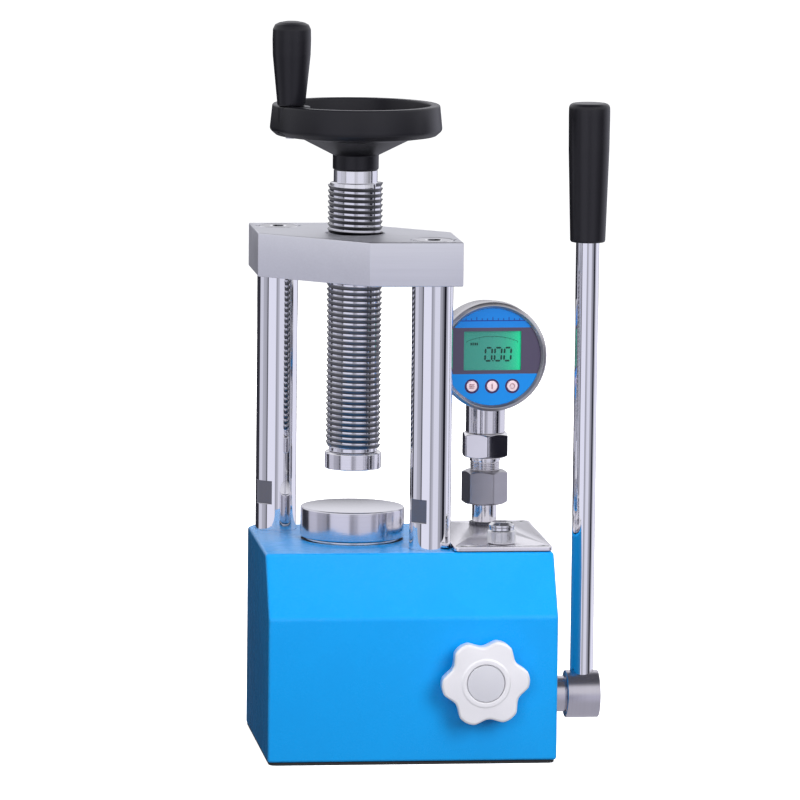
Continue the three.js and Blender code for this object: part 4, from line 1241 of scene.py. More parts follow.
@dataclass
class Uprights:
    """The two columns, their keys and the crosshead."""

    column_edge: float = 1.0
    flat_depth: float = 1.8
    flat_start: float = 61.3
    flat_height: float = 17.5
    recess: float = 5.5
    recess_depth: float = 5.0
    key_hole: float = 2.3
    key_depth: float = 9.3
    head_cut_x: float = 74.3
    head_cut_y: float = 69.0
    head_edge: float = 0.9
    screw_bore: float = 21.5
    seat: float = 15.12

    def build(self, shop: Workshop) -> None:
        """Build the columns, the keys and the crosshead."""
        for node in ("column_left", "column_right"):
            centre = Box.of(node).centre
            chrome = Turned(f"{node}_chrome", (0.88, 0.88, 0.90), 0.035, 0.012, 900.0, Axis.Z,
                            (centre.x, centre.y, 0.0), 0.02)
            ground = Blasted("flat_grey", (0.24, 0.24, 0.27), 0.55, 0.6, 1500.0)
            shop.piece(f"{node}_bar", self._column(node), chrome, "frame", [node])
            shop.piece(f"{node}_flats", self._flats(node), ground, "frame")
        self._crosshead(shop)
        self._keys(shop)

    def _angles(self, radius: float) -> list[float]:
        """Angles round a column, with one at each edge of its two flats."""
        half = math.acos((radius - self.flat_depth) / radius)
        middles = (TURN / 8, TURN * 5 / 8)
        plain = [TURN * index / 120 for index in range(120)]
        edges = [middle + side * half for middle in middles for side in (-1, 1)]
        near = math.radians(0.9)
        kept = [angle for angle in plain if all(abs(angle - edge) > near for edge in edges)]
        return sorted(kept + edges)

    def _column(self, node: str) -> bpy.types.Mesh:
        """One column with its wrench flats, its recess and its key holes."""
        box = Box.of(node)
        radius = box.radius
        length = box.height
        flat_low, flat_high = self.flat_start, self.flat_start + self.flat_height
        edge = self.column_edge

        def profile(angle: float) -> list[Point]:
            turned = max(abs(math.cos(angle - TURN / 8)), 1e-3)
            flat = min(radius, (radius - self.flat_depth) / turned)
            return [
                (0, 0), (radius - edge, 0), (radius, edge), (radius, flat_low), (flat, flat_low),
                (flat, flat_high), (radius, flat_high), (radius, length - edge),
                (radius - edge, length), (self.recess + 0.8, length), (self.recess, length - 0.8),
                (self.recess, length - self.recess_depth), (0, length - self.recess_depth),
            ]

        mesh = Shape().revolve(profile, self._angles(radius)).mesh(
            f"{node}_bar", box.foot
        )
        return cut(f"{node}_bar", mesh, self._key_tools(box.centre, box.high.z, radius))

    def _key_tools(self, centre: Vector, top: float, radius: float) -> list[bpy.types.Mesh]:
        """Drills for the two keys of a column."""
        profile = [(0, -self.key_depth), (self.key_hole, -self.key_depth), (self.key_hole, 1), (0, 1)]
        return [
            Shape().lathe(profile, 32).mesh("key_tool", at(centre.x + side * radius * MM, centre.y, top))
            for side in (-1, 1)
        ]

    def _flats(self, node: str) -> bpy.types.Mesh:
        """The ground faces of the two wrench flats, a hair proud of the steel under them."""
        box = Box.of(node)
        radius = box.radius
        depth = radius - self.flat_depth
        half = math.sqrt(radius * radius - depth * depth) - 0.15
        low, high = self.flat_start + 0.15, self.flat_start + self.flat_height - 0.15
        shape = Shape()
        outline = rectangle(-half, low, half, high, 0.2)
        shape.plate(outline, [], depth - 0.2, depth + 0.04)
        stand = Matrix(((1, 0, 0, 0), (0, 0, 1, 0), (0, 1, 0, 0), (0, 0, 0, 1)))
        place = box.foot
        sides = []
        for turn in (-TURN / 8, TURN * 3 / 8):
            mesh = shape.mesh("flat", place @ Matrix.Rotation(turn, 4, "Z") @ stand)
            mesh.flip_normals()
            sides.append(mesh)
        return joined(f"{node}_flats", sides)

    def _crosshead(self, shop: Workshop) -> None:
        """The crosshead, with its two cut corners and its bores."""
        box = Box.of("crosshead")
        low, high = box.low / MM, box.high / MM
        outline = [
            (low.x + self.head_cut_x, low.y), (high.x, low.y), (high.x, high.y - self.head_cut_y),
            (high.x - self.head_cut_x, high.y), (low.x, high.y), (low.x, low.y + self.head_cut_y),
        ]
        outline = rounded([(*corner, 0.6) for corner in outline], closed=True, steps=2)
        holes = [circle(self.screw_bore, 96, clockwise=True)]
        tools = []
        for node in ("column_left", "column_right"):
            column = Box.of(node)
            centre = column.centre
            holes.append(circle(self.seat, 72, (centre.x / MM, centre.y / MM), clockwise=True))
            tools += self._key_tools(centre, box.high.z, column.radius)
        plate = Shape().plate(outline, holes, low.z, high.z, self.head_edge, 3).mesh("head", Matrix())
        steel = Brushed("ground_head", (0.86, 0.865, 0.91), 0.47, 0.16, Axis.X, 700.0)
        shop.piece("head", cut("head", plate, tools), steel, "frame", ["crosshead"])

    def _keys(self, shop: Workshop) -> None:
        """The four socket screws that lock the columns."""
        names = ("column_key_left_a", "column_key_left_b", "column_key_right_a", "column_key_right_b")
        box = Box.of(names[0])
        radius, length = box.radius, box.height
        profile = self._socket_profile(radius, length)
        single = Shape().revolve(profile, hexagon_angles(48)).mesh("key", Matrix())
        dark = Blasted("key_black", (0.09, 0.09, 0.10), 0.42)
        places = [Vector((Box.of(name).centre.x, Box.of(name).centre.y, box.low.z)) for name in names]
        mesh = Repeats.copies("keys", shop.finish(dark), single, places, 0.7)
        shop.piece("keys", mesh, dark, "frame", names)

    @staticmethod
    def _socket_profile(radius: float, length: float) -> Callable[[float], list[Point]]:
        """The profile of a socket screw with a hexagon socket in its top."""
        socket = radius * 0.5

        def profile(angle: float) -> list[Point]:
            inner = hexagon_radius(angle, socket)
            return [(0, 0), (radius - 0.3, 0), (radius, 0.3), (radius, length - 0.3),
                    (radius - 0.3, length), (inner, length), (inner, length * 0.6), (0, length * 0.6)]

        return profile


def hexagon_radius(angle: float, flat: float, turn: float = 0.0) -> float:
    """The radius of a hexagon at an angle, from its centre.

    Args:
        angle: the direction, in radians.
        flat: the distance from its centre to a flat.
        turn: the direction of one corner.

    Returns:
        The radius there.
    """
    sixth = TURN / 6
    offset = (angle - turn) % sixth - sixth / 2
    return flat / math.cos(offset)


def hexagon_angles(count: int, turn: float = 0.0) -> list[float]:
    """Angles over one turn that meet every corner of a hexagon."""
    return [turn + TURN * index / count for index in range(count)]


# ---- lead screw and foot


@dataclass
class LeadScrew:
    """The threaded screw and the foot that it turns in."""

    lead: float = 4.0
    crest: float = 21.0
    root: float = 18.5
    core: float = 18.75
    chamfer: float = 2.6
    neck: float = 16.0
    lower_neck: float = 17.5
    lower_neck_length: float = 3.0
    journal: float = 8.0
    spigot: float = 8.0
    thread_length: float = 194.0
    foot_edge: float = 1.3
    bore: float = 8.3
    bore_depth: float = 8.8

    def build(self, shop: Workshop) -> None:
        """Build the screw and its foot."""
        screw, foot = Box.of("lead_screw"), Box.of("swivel_foot")
        base = foot.high.z / MM
        start = base + self.lower_neck_length
        end = start + self.thread_length
        hub = Box.of("handwheel").low.z / MM - 0.3
        top = screw.high.z / MM
        # The radii of the thread's flanks, where the screw's colour gets painted shade.
        flank = ((self.core + 0.15) * MM, (self.crest - 0.35) * MM)
        steel = Turned("screw_steel", (0.82, 0.82, 0.86), 0.11, 0.05, 1500.0, patch=0.04, flank=flank)
        profile = rounded([
            (0, screw.low.z / MM), (self.journal, screw.low.z / MM, 0.5), (self.journal, base + 0.3),
            (self.lower_neck, base + 0.3, 0.4), (self.lower_neck, start, 0.3),
            (self.core, start + 0.6, 0.4), (self.core, end - self.chamfer, 0.3),
            (self.neck + 2.4, end - 0.3, 0.3), (self.neck + 2.4, end, 0.2),
            (self.neck, end + 0.2, 0.5), (self.neck, hub, 0.3),
            (self.spigot, hub, 0.2), (self.spigot, top, 0.3), (0, top),
        ], steps=3)
        core = Shape().lathe(profile, 128).mesh("core", Matrix())
        ridge = Repeats.thread(
            "ridge", shop.finish(steel), self.root, self.crest, self.lead, self.thread_length - 1.5
        )
        ridge.transform(at(0, 0, (start + 0.8) * MM))
        tidy(ridge, 1e-7)
        shop.piece("screw", joined("screw", [core, ridge]), steel, "screw", ["lead_screw"])
        self._foot(shop, foot)

    def _foot(self, shop: Workshop, box: Box) -> None:
        """The disc at the foot of the screw."""
        radius, height = box.radius, box.height
        floor = height - self.bore_depth
        profile = rounded([
            (0, 0), (radius - 0.2, 0, self.foot_edge), (radius, 0.9, 0.9), (radius, height - 1.0, 0.9),
            (radius - 1.0, height, 0.9), (self.bore + 0.6, height), (self.bore, height - 0.6),
            (self.bore, floor, 0.4), (0, floor),
        ], steps=4)
        steel = Turned("foot_steel", (0.84, 0.83, 0.86), 0.13, 0.22, 1700.0, Axis.Z, (0, 0, 0), 0.06)
        shop.turned(
            "foot", profile, 128, at(0, 0, box.low.z), steel, "swivel_foot", "screw_steel",
            "swivel_foot",
        )


# ---- handwheel


@dataclass
class Handwheel:
    """The dished handwheel, its bolt, and the revolving handle."""

    hub: float = 16.8
    hub_height: float = 10.7
    cone_rise: float = 11.8
    cone: float = 40.0
    rim_rise: float = 2.7
    bottom: float = 62.9
    top: float = 61.0
    wall: float = 6.6
    boss: float = 16.2
    boss_top: float = 18.7
    bore: float = 8.3
    seat: float = 12.3
    handle_foot: float = 10.2
    handle_waist: float = 11.8
    handle_belly: float = 14.0
    dome: float = 3.0
    cap: float = 9.0
    spindle_bore: float = 4.3
    head_bore: float = 6.8
    head_depth: float = 16.3
    cap_floor: float = 7.0

    def build(self, shop: Workshop) -> None:
        """Build the wheel, the bolt with its washer, and the handle."""
        plastic = Moulded("black_moulding", (0.0060, 0.0058, 0.0082), 0.33, 0.22, 1500.0, 0.36)
        wheel = Box.of("handwheel")
        height = wheel.height
        mesh = Shape().lathe(self._profile(height), 160).mesh("wheel", at(0, 0, wheel.low.z))
        handle = Box.of("crank_handle")
        seat = self._seat(height, wheel, handle)
        shop.piece("wheel", joined("wheel", [mesh, seat]), plastic, "screw", ["handwheel"])
        self._bolt(shop)
        self._handle(shop, plastic, handle)

    def _profile(self, height: float) -> list[Point]:
        """The wheel's section, from its bore round its rim and back."""
        cone_top = self.hub_height + self.cone_rise
        rim_low = cone_top + self.rim_rise
        inner = self.top - self.wall
        floor = rim_low + 5.0
        boss_top = self.boss_top
        return rounded([
            (self.bore, 0), (self.hub, 0, 1.3), (self.hub, self.hub_height, 0.8),
            (self.cone, cone_top, 1.6), (self.bottom - 4.4, rim_low + 0.1, 2.4),
            (self.bottom, rim_low + 4.0, 3.6),
            (self.top, height, 1.7), (inner, height, 1.7), (inner - 1.6, floor + 2.0, 3.5),
            (inner - 8.0, floor - 1.5, 6.0), (self.boss + 4.0, boss_top - 5.5, 4.0),
            (self.boss, boss_top - 1.0, 1.2), (self.boss - 1.2, boss_top, 0.8), (self.bore, boss_top),
            (self.bore, 0),
        ], steps=5)[:-1]

    def _seat(self, height: float, wheel: Box, handle: Box) -> bpy.types.Mesh:
        """The boss in the rim that the handle stands on."""
        low = self.hub_height + self.cone_rise + self.rim_rise + 1.0
        profile = rounded([(0, low), (self.seat - 1.5, low, 1.0), (self.seat, low + 2.0, 1.0),
                           (self.seat - 0.6, height - 0.1, 1.2), (0, height - 0.1)])
        inset = 0.955
        place = at(handle.centre.x * inset, handle.centre.y * inset, wheel.low.z)
        return Shape().lathe(profile, 64).mesh("seat", place)

    def _bolt(self, shop: Workshop) -> None:
        """The bolt and washer that hold the wheel on the screw."""
        washer, bolt = Box.of("wheel_washer"), Box.of("wheel_bolt")
        steel = Turned("bolt_steel", (0.62, 0.62, 0.64), 0.16, 0.3, 2100.0)
        outer, thick = washer.radius, washer.height
        ring = rounded([(5.3, 0), (outer, 0, 0.4), (outer, thick, 0.5), (5.3, thick), (5.3, 0)])[:-1]
        shop.turned(
            "washer", ring, 96, at(0, 0, washer.low.z), steel, "screw", "chrome", "wheel_washer"
        )
        head, length = bolt.radius, bolt.height
        neck = washer.high.z / MM - bolt.low.z / MM + 0.3

        def profile(angle: float) -> list[Point]:
            socket = hexagon_radius(angle, 4.0)
            return [(0, 0), (4.3, 0), (5.0, 0.8), (5.0, neck), (head, neck), (head, length - 0.9),
                    (head - 0.3, length - 0.3), (head - 1.0, length), (socket + 0.2, length),
                    (socket, length - 0.2), (socket, length - 5.0), (0, length - 5.0)]

        mesh = Shape().revolve(profile, hexagon_angles(96)).mesh("bolt", at(0, 0, bolt.low.z))
        shop.piece("bolt", mesh, steel, "screw", ["wheel_bolt"])

    def _handle(self, shop: Workshop, plastic: Moulded, box: Box) -> None:
        """The revolving handle and the cap let into its top."""
        cap_box = Box.of("handle_cap")
        length = cap_box.high.z / MM - box.low.z / MM
        shoulder = length - self.dome
        rise = [0.0, 0.28, 0.60, 0.78]
        radii = [self.handle_foot, self.handle_waist, self.handle_belly - 0.25, self.handle_belly]
        profile = rounded([
            (self.spindle_bore, 0), (radii[0] - 0.4, 0, 0.8), (radii[0], 1.4, 1.0),
            (radii[1], rise[1] * length, 30.0),
            (radii[2], rise[2] * length, 30.0), (radii[3], rise[3] * length, 20.0),
            (radii[3] - 0.2, shoulder - 3.0, 3.0), (radii[3] - 1.8, shoulder + 0.3, 2.0),
            (self.cap + 0.25, shoulder + self.dome * 0.62, 0.3), (self.cap + 0.2, length - self.cap_floor),
            (self.head_bore, length - self.cap_floor), (self.head_bore, length - self.head_depth),
            (self.spindle_bore, length - self.head_depth), (self.spindle_bore, 0),
        ], steps=6)[:-1]
        place = box.foot
        shop.turned(
            "handle", profile, 96, place, plastic, "crank_handle", "black_plastic", "crank_handle"
        )
        low = cap_box.low.z / MM - box.low.z / MM
        cap = rounded([(0, low), (self.cap, low), (self.cap, shoulder + self.dome * 0.62, 0.4),
                       (self.cap * 0.5, length - 0.25, 4.0), (0, length)])
        shop.turned(
            "handle_top", cap, 96, place, plastic, "crank_handle", "black_plastic", "handle_cap"
        )


# ---- ram and platen


@dataclass
class Ram:
    """The ram, the wiper round it and the platen on it."""

    recess: float = 10.3
    recess_depth: float = 8.0
    groove: float = 31.5
    groove_low: float = 8.0
    groove_high: float = 14.0
    bore: float = 35.4
    spigot: float = 10.0
    platen_edge: float = 1.4

    def build(self, shop: Workshop) -> None:
        """Build the three pieces."""
        ram, wiper, platen = Box.of("ram"), Box.of("ram_wiper"), Box.of("platen")
        radius, height = ram.radius, ram.height
        profile = rounded([
            (0, 0), (radius, 0, 1.6), (radius, self.groove_low, 0.3), (self.groove, self.groove_low),
            (self.groove, self.groove_high), (radius, self.groove_high, 0.3), (radius, height, 0.9),
            (self.recess, height), (self.recess, height - self.recess_depth),
            (0, height - self.recess_depth),
        ])
        chrome = Turned("ram_chrome", (0.72, 0.72, 0.74), 0.12, 0.15, 1200.0)
        shop.turned("piston", profile, 128, at(0, 0, ram.low.z), chrome, "ram", "chrome", "ram")
        outer, thick = wiper.radius, wiper.height
        ring = rounded([(self.bore, 0), (outer, 0, 0.3), (outer, thick, 0.4), (self.bore + 1.2, thick, 0.5),
                        (self.bore, thick - 1.2, 0.4), (self.bore, 0)])[:-1]
        rubber = Moulded("wiper_rubber", (0.022, 0.024, 0.030), 0.55)
        shop.turned(
            "wiper", ring, 128, at(0, 0, wiper.low.z), rubber, "frame", "rubber", "ram_wiper"
        )
        self._platen(shop, platen)

    def _platen(self, shop: Workshop, box: Box) -> None:
        """The round plate that presses."""
        radius, height = box.radius, box.height
        under = self.recess_depth
        profile = rounded([
            (0, 0), (self.spigot, 0, 0.5), (self.spigot, under), (radius, under, 1.0),
            (radius, height, self.platen_edge), (0, height),
        ], steps=4)
        steel = Turned("platen_steel", (0.75, 0.745, 0.80), 0.135, 0.36, 1300.0, Axis.Z, (0, 0, 0), 0.05)
        shop.turned(
            "press_plate", profile, 160, at(0, 0, box.low.z), steel, "ram", "ground_steel", "platen"
        )


# ---- reservoir cover


@dataclass
class Cover:
    """The reservoir's cover plate, its gasket and screws, and the filler plug."""

    corner: float = 4.0
    edge: float = 0.35
    screw_hole: float = 4.15
    riser_hole: float = 9.3
    plug_hole: float = 6.8
    knurl_columns: int = 56
    knurl_rows: int = 11
    knurl_proud: float = 0.42
    head_height: float = 10.0
    neck: float = 9.0
    neck_height: float = 1.8
    thread: float = 6.5
    slot_width: float = 2.2

    def build(self, shop: Workshop) -> None:
        """Build the plate, its gasket, its screws and the plug."""
        self._plate(shop)
        self._screws(shop)
        self._plug(shop)

    def _screw_names(self) -> list[str]:
        """The CAD nodes of the four cover screws."""
        return [f"cover_screw_{end}_{side}" for end in ("front", "back") for side in ("left", "right")]

    def _plate(self, shop: Workshop) -> None:
        """The cover plate and the gasket under it."""
        riser, plug = Box.of("riser_tube").centre / MM, Box.of("filler_plug").centre / MM
        screws = [Box.of(name).centre / MM for name in self._screw_names()]
        plate, gasket = Box.of("cover_plate"), Box.of("cover_gasket")
        holes = [circle(self.screw_hole, 40, (place.x, place.y), True) for place in screws]
        holes.append(circle(self.riser_hole, 56, (riser.x, riser.y), True))
        low, high = plate.low / MM, plate.high / MM
        outline = rectangle(low.x, low.y, high.x, high.y, self.corner)
        plug_hole = circle(self.plug_hole, 48, (plug.x, plug.y), True)
        steel = Brushed("cover_stainless", (0.92, 0.90, 0.94), 0.24, 0.16, Axis.Y, 1500.0)
        mesh = Shape().plate(outline, [*holes, plug_hole], low.z, high.z, self.edge, 2).mesh("lid", Matrix())
        shop.piece("lid", mesh, steel, "frame", ["cover_plate"])
        low, high = gasket.low / MM, gasket.high / MM
        left, front, right, back = OIL_POCKET
        inner = [(left, front), (left, back), (right, back), (right, front)]
        outline = rectangle(low.x, low.y, high.x, high.y, self.corner)
        opening = rounded([(*corner, OIL_POCKET_CORNER) for corner in inner], closed=True)
        mesh = Shape().plate(outline, [*holes, opening], low.z, high.z).mesh("gasket", Matrix())
        rubber = Moulded("gasket_rubber", (0.03, 0.03, 0.034), 0.7)
        shop.piece("gasket", mesh, rubber, "frame", ["cover_gasket"])

    def _screws(self, shop: Workshop) -> None:
        """Four countersunk screws with hexagon sockets."""
        names = self._screw_names()
        box = Box.of(names[0])
        head, length = box.radius, box.height

        def profile(angle: float) -> list[Point]:
            socket = hexagon_radius(angle, 1.3)
            return [(0, 0), (1.6, 0), (2.0, 0.4), (2.0, length - head + 2.0), (head, length - 0.2),
                    (head - 0.1, length), (socket, length), (socket, length - 1.6), (0, length - 1.9)]

        single = Shape().revolve(profile, hexagon_angles(48)).mesh("cover_screw", Matrix())
        steel = Turned("screw_chrome", (0.60, 0.60, 0.62), 0.2, 0.2, 2600.0)
        places = [Vector((Box.of(name).centre.x, Box.of(name).centre.y, box.low.z)) for name in names]
        mesh = Repeats.copies("cover_screws", shop.finish(steel), single, places, 0.9)
        shop.piece("cover_screws", mesh, steel, "frame", names)

    def _plug(self, shop: Workshop) -> None:
        """The knurled filler plug, its cap and its ring."""
        box, cap_box, ring_box = Box.of("filler_plug"), Box.of("plug_cap"), Box.of("plug_ring")
        centre = box.centre
        under = (ring_box.low.z - box.low.z) / MM
        radius = box.radius - self.knurl_proud
        top = under + self.head_height
        neck_top = top + self.neck_height
        profile = rounded([
            (0, 0), (self.thread, 0, 0.6), (self.thread, under + 1.8), (9.1, under + 1.8), (9.1, under),
            (radius - 0.5, under, 0.3), (radius, under + 0.6, 0.3), (radius, top - 0.9, 0.3),
            (radius - 0.9, top, 0.4), (self.neck, top), (self.neck, neck_top), (3.0, neck_top),
            (3.0, neck_top + 1.5), (0, neck_top + 1.5),
        ], steps=3)
        middle = (centre.x, centre.y, 0)
        bright = Turned("plug_chrome", (0.80, 0.80, 0.82), 0.13, 0.15, 2000.0, Axis.Z, middle)
        place = at(centre.x, centre.y, box.low.z)
        core = Shape().lathe(profile, 96).mesh("plug_core", place)
        diamonds = Repeats.knurl(
            "diamonds", shop.finish(bright), radius - 0.02, self.head_height - 1.8,
            self.knurl_columns, self.knurl_rows, self.knurl_proud,
        )
        diamonds.transform(at(centre.x, centre.y, box.low.z + (under + 0.8) * MM))
        tidy(diamonds, 1e-7)
        plug = joined("plug", [core, diamonds])
        shop.piece("plug", plug, bright, "filler_plug", ["filler_plug"])
        self._plug_top(shop, cap_box, bright)
        outer, thick = ring_box.radius, ring_box.height
        ring = rounded([(7.0, 0, 0.5), (outer, 0, 0.5), (outer, thick, 0.5), (7.0, thick, 0.5)], closed=True)
        mesh = Shape().lathe(ring, 72).mesh("seal", at(centre.x, centre.y, ring_box.low.z))
        shop.piece("seal", mesh, Moulded("seal_rubber", (0.02, 0.02, 0.022), 0.6), "plug_ring",
                   ["plug_ring"])

    def _plug_top(self, shop: Workshop, box: Box, finish: Turned) -> None:
        """The bevelled cap of the plug, with a slot across it."""
        radius, height = box.radius, box.height
        profile = rounded([
            (0, 1.6), (3.3, 1.6), (3.3, 0), (radius, 0, 0.3), (radius, height * 0.42, 0.3),
            (radius - 2.4, height, 0.4), (0, height),
        ])
        place = box.foot
        mesh = Shape().lathe(profile, 96).mesh("plug_top", place)
        half = self.slot_width / 2
        outline = [(-radius, -half), (radius, -half), (radius, half), (-radius, half)]
        turned = place @ Matrix.Rotation(math.radians(-24.0), 4, "Z")
        tool = Shape().plate(outline, [], height - 1.1, height + 1.0).mesh("slot_tool", turned)
        shop.piece("plug_top", cut("plug_top", mesh, [tool]), finish, "filler_plug", ["plug_cap"])


# ---- riser and fittings


@dataclass
class Riser:
    """The tube and fittings that carry the gauge."""

    bore: float = 3.0
    thread: float = 6.5
    thread_length: float = 18.3
    tube_edge: float = 0.8
    collar_bore: float = 9.3
    nut_bore: float = 10.3
    lower_across: float = 30.0
    lower_turn: float = math.radians(-14.8)
    upper_across: float = 32.0
    upper_turn: float = math.radians(29.2)
    fitting: float = 10.0
    adapter_threads: int = 5
    stem_neck: float = 6.0

    def build(self, shop: Workshop) -> None:
        """Build the tube, the collar, the nuts, the adapter and the stem."""
        tube = Box.of("riser_tube")
        centre = (tube.centre.x, tube.centre.y, 0.0)
        grey = Turned("nut_grey", (0.47, 0.46, 0.49), 0.30, 0.25, 1600.0, Axis.Z, centre)
        bright = Turned("nut_bright", (0.80, 0.79, 0.81), 0.10, 0.12, 1400.0, Axis.Z, centre)
        radius, height = tube.radius, tube.height
        profile = rounded([
            (self.bore, 0), (self.thread, 0, 0.6), (self.thread, self.thread_length),
            (radius, self.thread_length, 0.3), (radius, height, self.tube_edge), (self.bore, height),
            (self.bore, 0),
        ])[:-1]
        place = tube.foot
        shop.turned("tube", profile, 96, place, bright, "frame", "chrome", "riser_tube")
        self._collar(shop, centre)
        self._nut(shop, "lower_nut", self.lower_across, self.lower_turn, grey)
        self._nut(shop, "upper_nut", self.upper_across, self.upper_turn, bright)
        self._adapter(shop, bright)
        self._stem(shop, bright)

    def _collar(self, shop: Workshop, centre: tuple[float, float, float]) -> None:
        """The thin locking ring at the foot of the tube."""
        box = Box.of("riser_collar")
        outer, thick = box.radius, box.height

        def profile(angle: float) -> list[Point]:
            notch = 0.45 * max(0.0, math.cos(24 * angle))
            return [(self.collar_bore, 0), (outer - notch, 0), (outer - notch, thick - 0.4),
                    (outer - notch - 0.4, thick), (self.collar_bore, thick)]

        dark = Turned("collar_dark", (0.13, 0.13, 0.15), 0.30, 0.3, 1800.0, Axis.Z, centre)
        mesh = Shape().revolve(profile, [TURN * index / 192 for index in range(192)])
        shop.piece("collar", mesh.mesh("collar", box.foot), dark,
                   "frame", ["riser_collar"])

    def _nut(
        self, shop: Workshop, node: str, across: float, turn: float, finish: Turned,
    ) -> None:
        """A hexagon nut with turned chamfers on both faces.

        Args:
            shop: the workshop.
            node: the CAD node it stands for.
            across: its width across flats, in millimetres.
            turn: the direction of one corner.
            finish: its finish.
        """
        box = Box.of(node)
        flat = across / 2
        height = box.height
        break_at = flat * 0.965
        slope = math.tan(math.radians(30.0))

        def profile(angle: float) -> list[Point]:
            radius = hexagon_radius(angle, flat, turn)
            radius = min(radius, flat / math.cos(TURN / 12) * 0.992)
            drop = (radius - break_at) * slope
            return [(self.nut_bore, 0.5), (self.nut_bore + 0.5, 0), (break_at, 0),
                    (radius - 0.12, drop - 0.05), (radius, drop + 0.12), (radius, height - drop - 0.12),
                    (radius - 0.12, height - drop + 0.05), (break_at, height),
                    (self.nut_bore + 0.5, height), (self.nut_bore, height - 0.5)]

        mesh = Shape().revolve(profile, hexagon_angles(144, turn))
        place = box.foot
        shop.piece(f"{node}_hex", mesh.mesh(node, place), finish, "frame", [node])

    def _adapter(self, shop: Workshop, finish: Turned) -> None:
        """The fitting between the nuts, with its ridges and a plain band."""
        box, low_nut, high_nut = Box.of("gauge_adapter"), Box.of("lower_nut"), Box.of("upper_nut")
        radius = box.radius
        height = box.height
        shown_low = (low_nut.high.z - box.low.z) / MM + 0.3
        shown_high = (high_nut.low.z - box.low.z) / MM - 0.3
        corners: list[tuple[float, ...]] = [
            (self.bore, 0), (self.fitting, 0, 0.4), (self.fitting, shown_low), (radius - 1.4, shown_low),
        ]
        step = (shown_high - shown_low) * 0.62 / self.adapter_threads
        for index in range(self.adapter_threads):
            start = shown_low + 0.2 + index * step
            corners += [(radius - 1.3, start, 0.1), (radius - 0.2, start + step * 0.35, 0.2),
                        (radius - 0.2, start + step * 0.6, 0.2), (radius - 1.3, start + step * 0.95, 0.1)]
        band = shown_low + (shown_high - shown_low) * 0.68
        corners += [
            (radius - 1.3, band), (radius, band + 0.3, 0.3), (radius, shown_high, 0.4),
            (self.fitting, shown_high), (self.fitting, height, 0.4), (self.bore, height), (self.bore, 0),
        ]
        place = box.foot
        mesh = Shape().lathe(rounded(corners, steps=2)[:-1], 96).mesh("adapter", place)
        shop.piece("adapter", mesh, finish, "frame", ["gauge_adapter"])

    def _stem(self, shop: Workshop, finish: Turned) -> None:
        """The gauge's stem, hollowed to the round of the case above it."""
        box, case, nut = Box.of("gauge_stem"), Box.of("gauge_case"), Box.of("upper_nut")
        radius = box.radius
        seat = (nut.high.z - box.low.z) / MM + 0.3
        top = (case.centre.z - box.low.z) / MM - 19.0
        profile = rounded([
            (self.bore, 0), (self.fitting, 0, 0.4), (self.fitting, seat), (radius, seat, 0.5),
            (radius, top), (self.bore, top), (self.bore, 0),
        ])[:-1]
        place = box.foot
        mesh = Shape().lathe(profile, 128).mesh("stem_bar", place)
        case_radius = case.size.z / 2 / MM + 0.3
        tool = Shape().lathe([(0, -60), (case_radius, -60), (case_radius, 60), (0, 60)], 128).mesh(
            "case_tool", at(case.centre.x, case.centre.y, case.centre.z) @ FACE_FRONT
        )
        body = cut("stem_body", mesh, [tool])
        length = box.height
        neck = Shape().lathe(
            [(self.bore, seat + 1), (self.stem_neck, seat + 1), (self.stem_neck, length),
             (self.bore, length)], 48
        ).mesh("stem_neck", place)
        shop.piece("stem", joined("stem", [body, neck]), finish, "frame", ["gauge_stem"])


# ---- digital gauge


class Sign(Enum):
    """A plain sign on a button."""

    BARS = "bars"
    LINE = "line"
    RING = "ring"


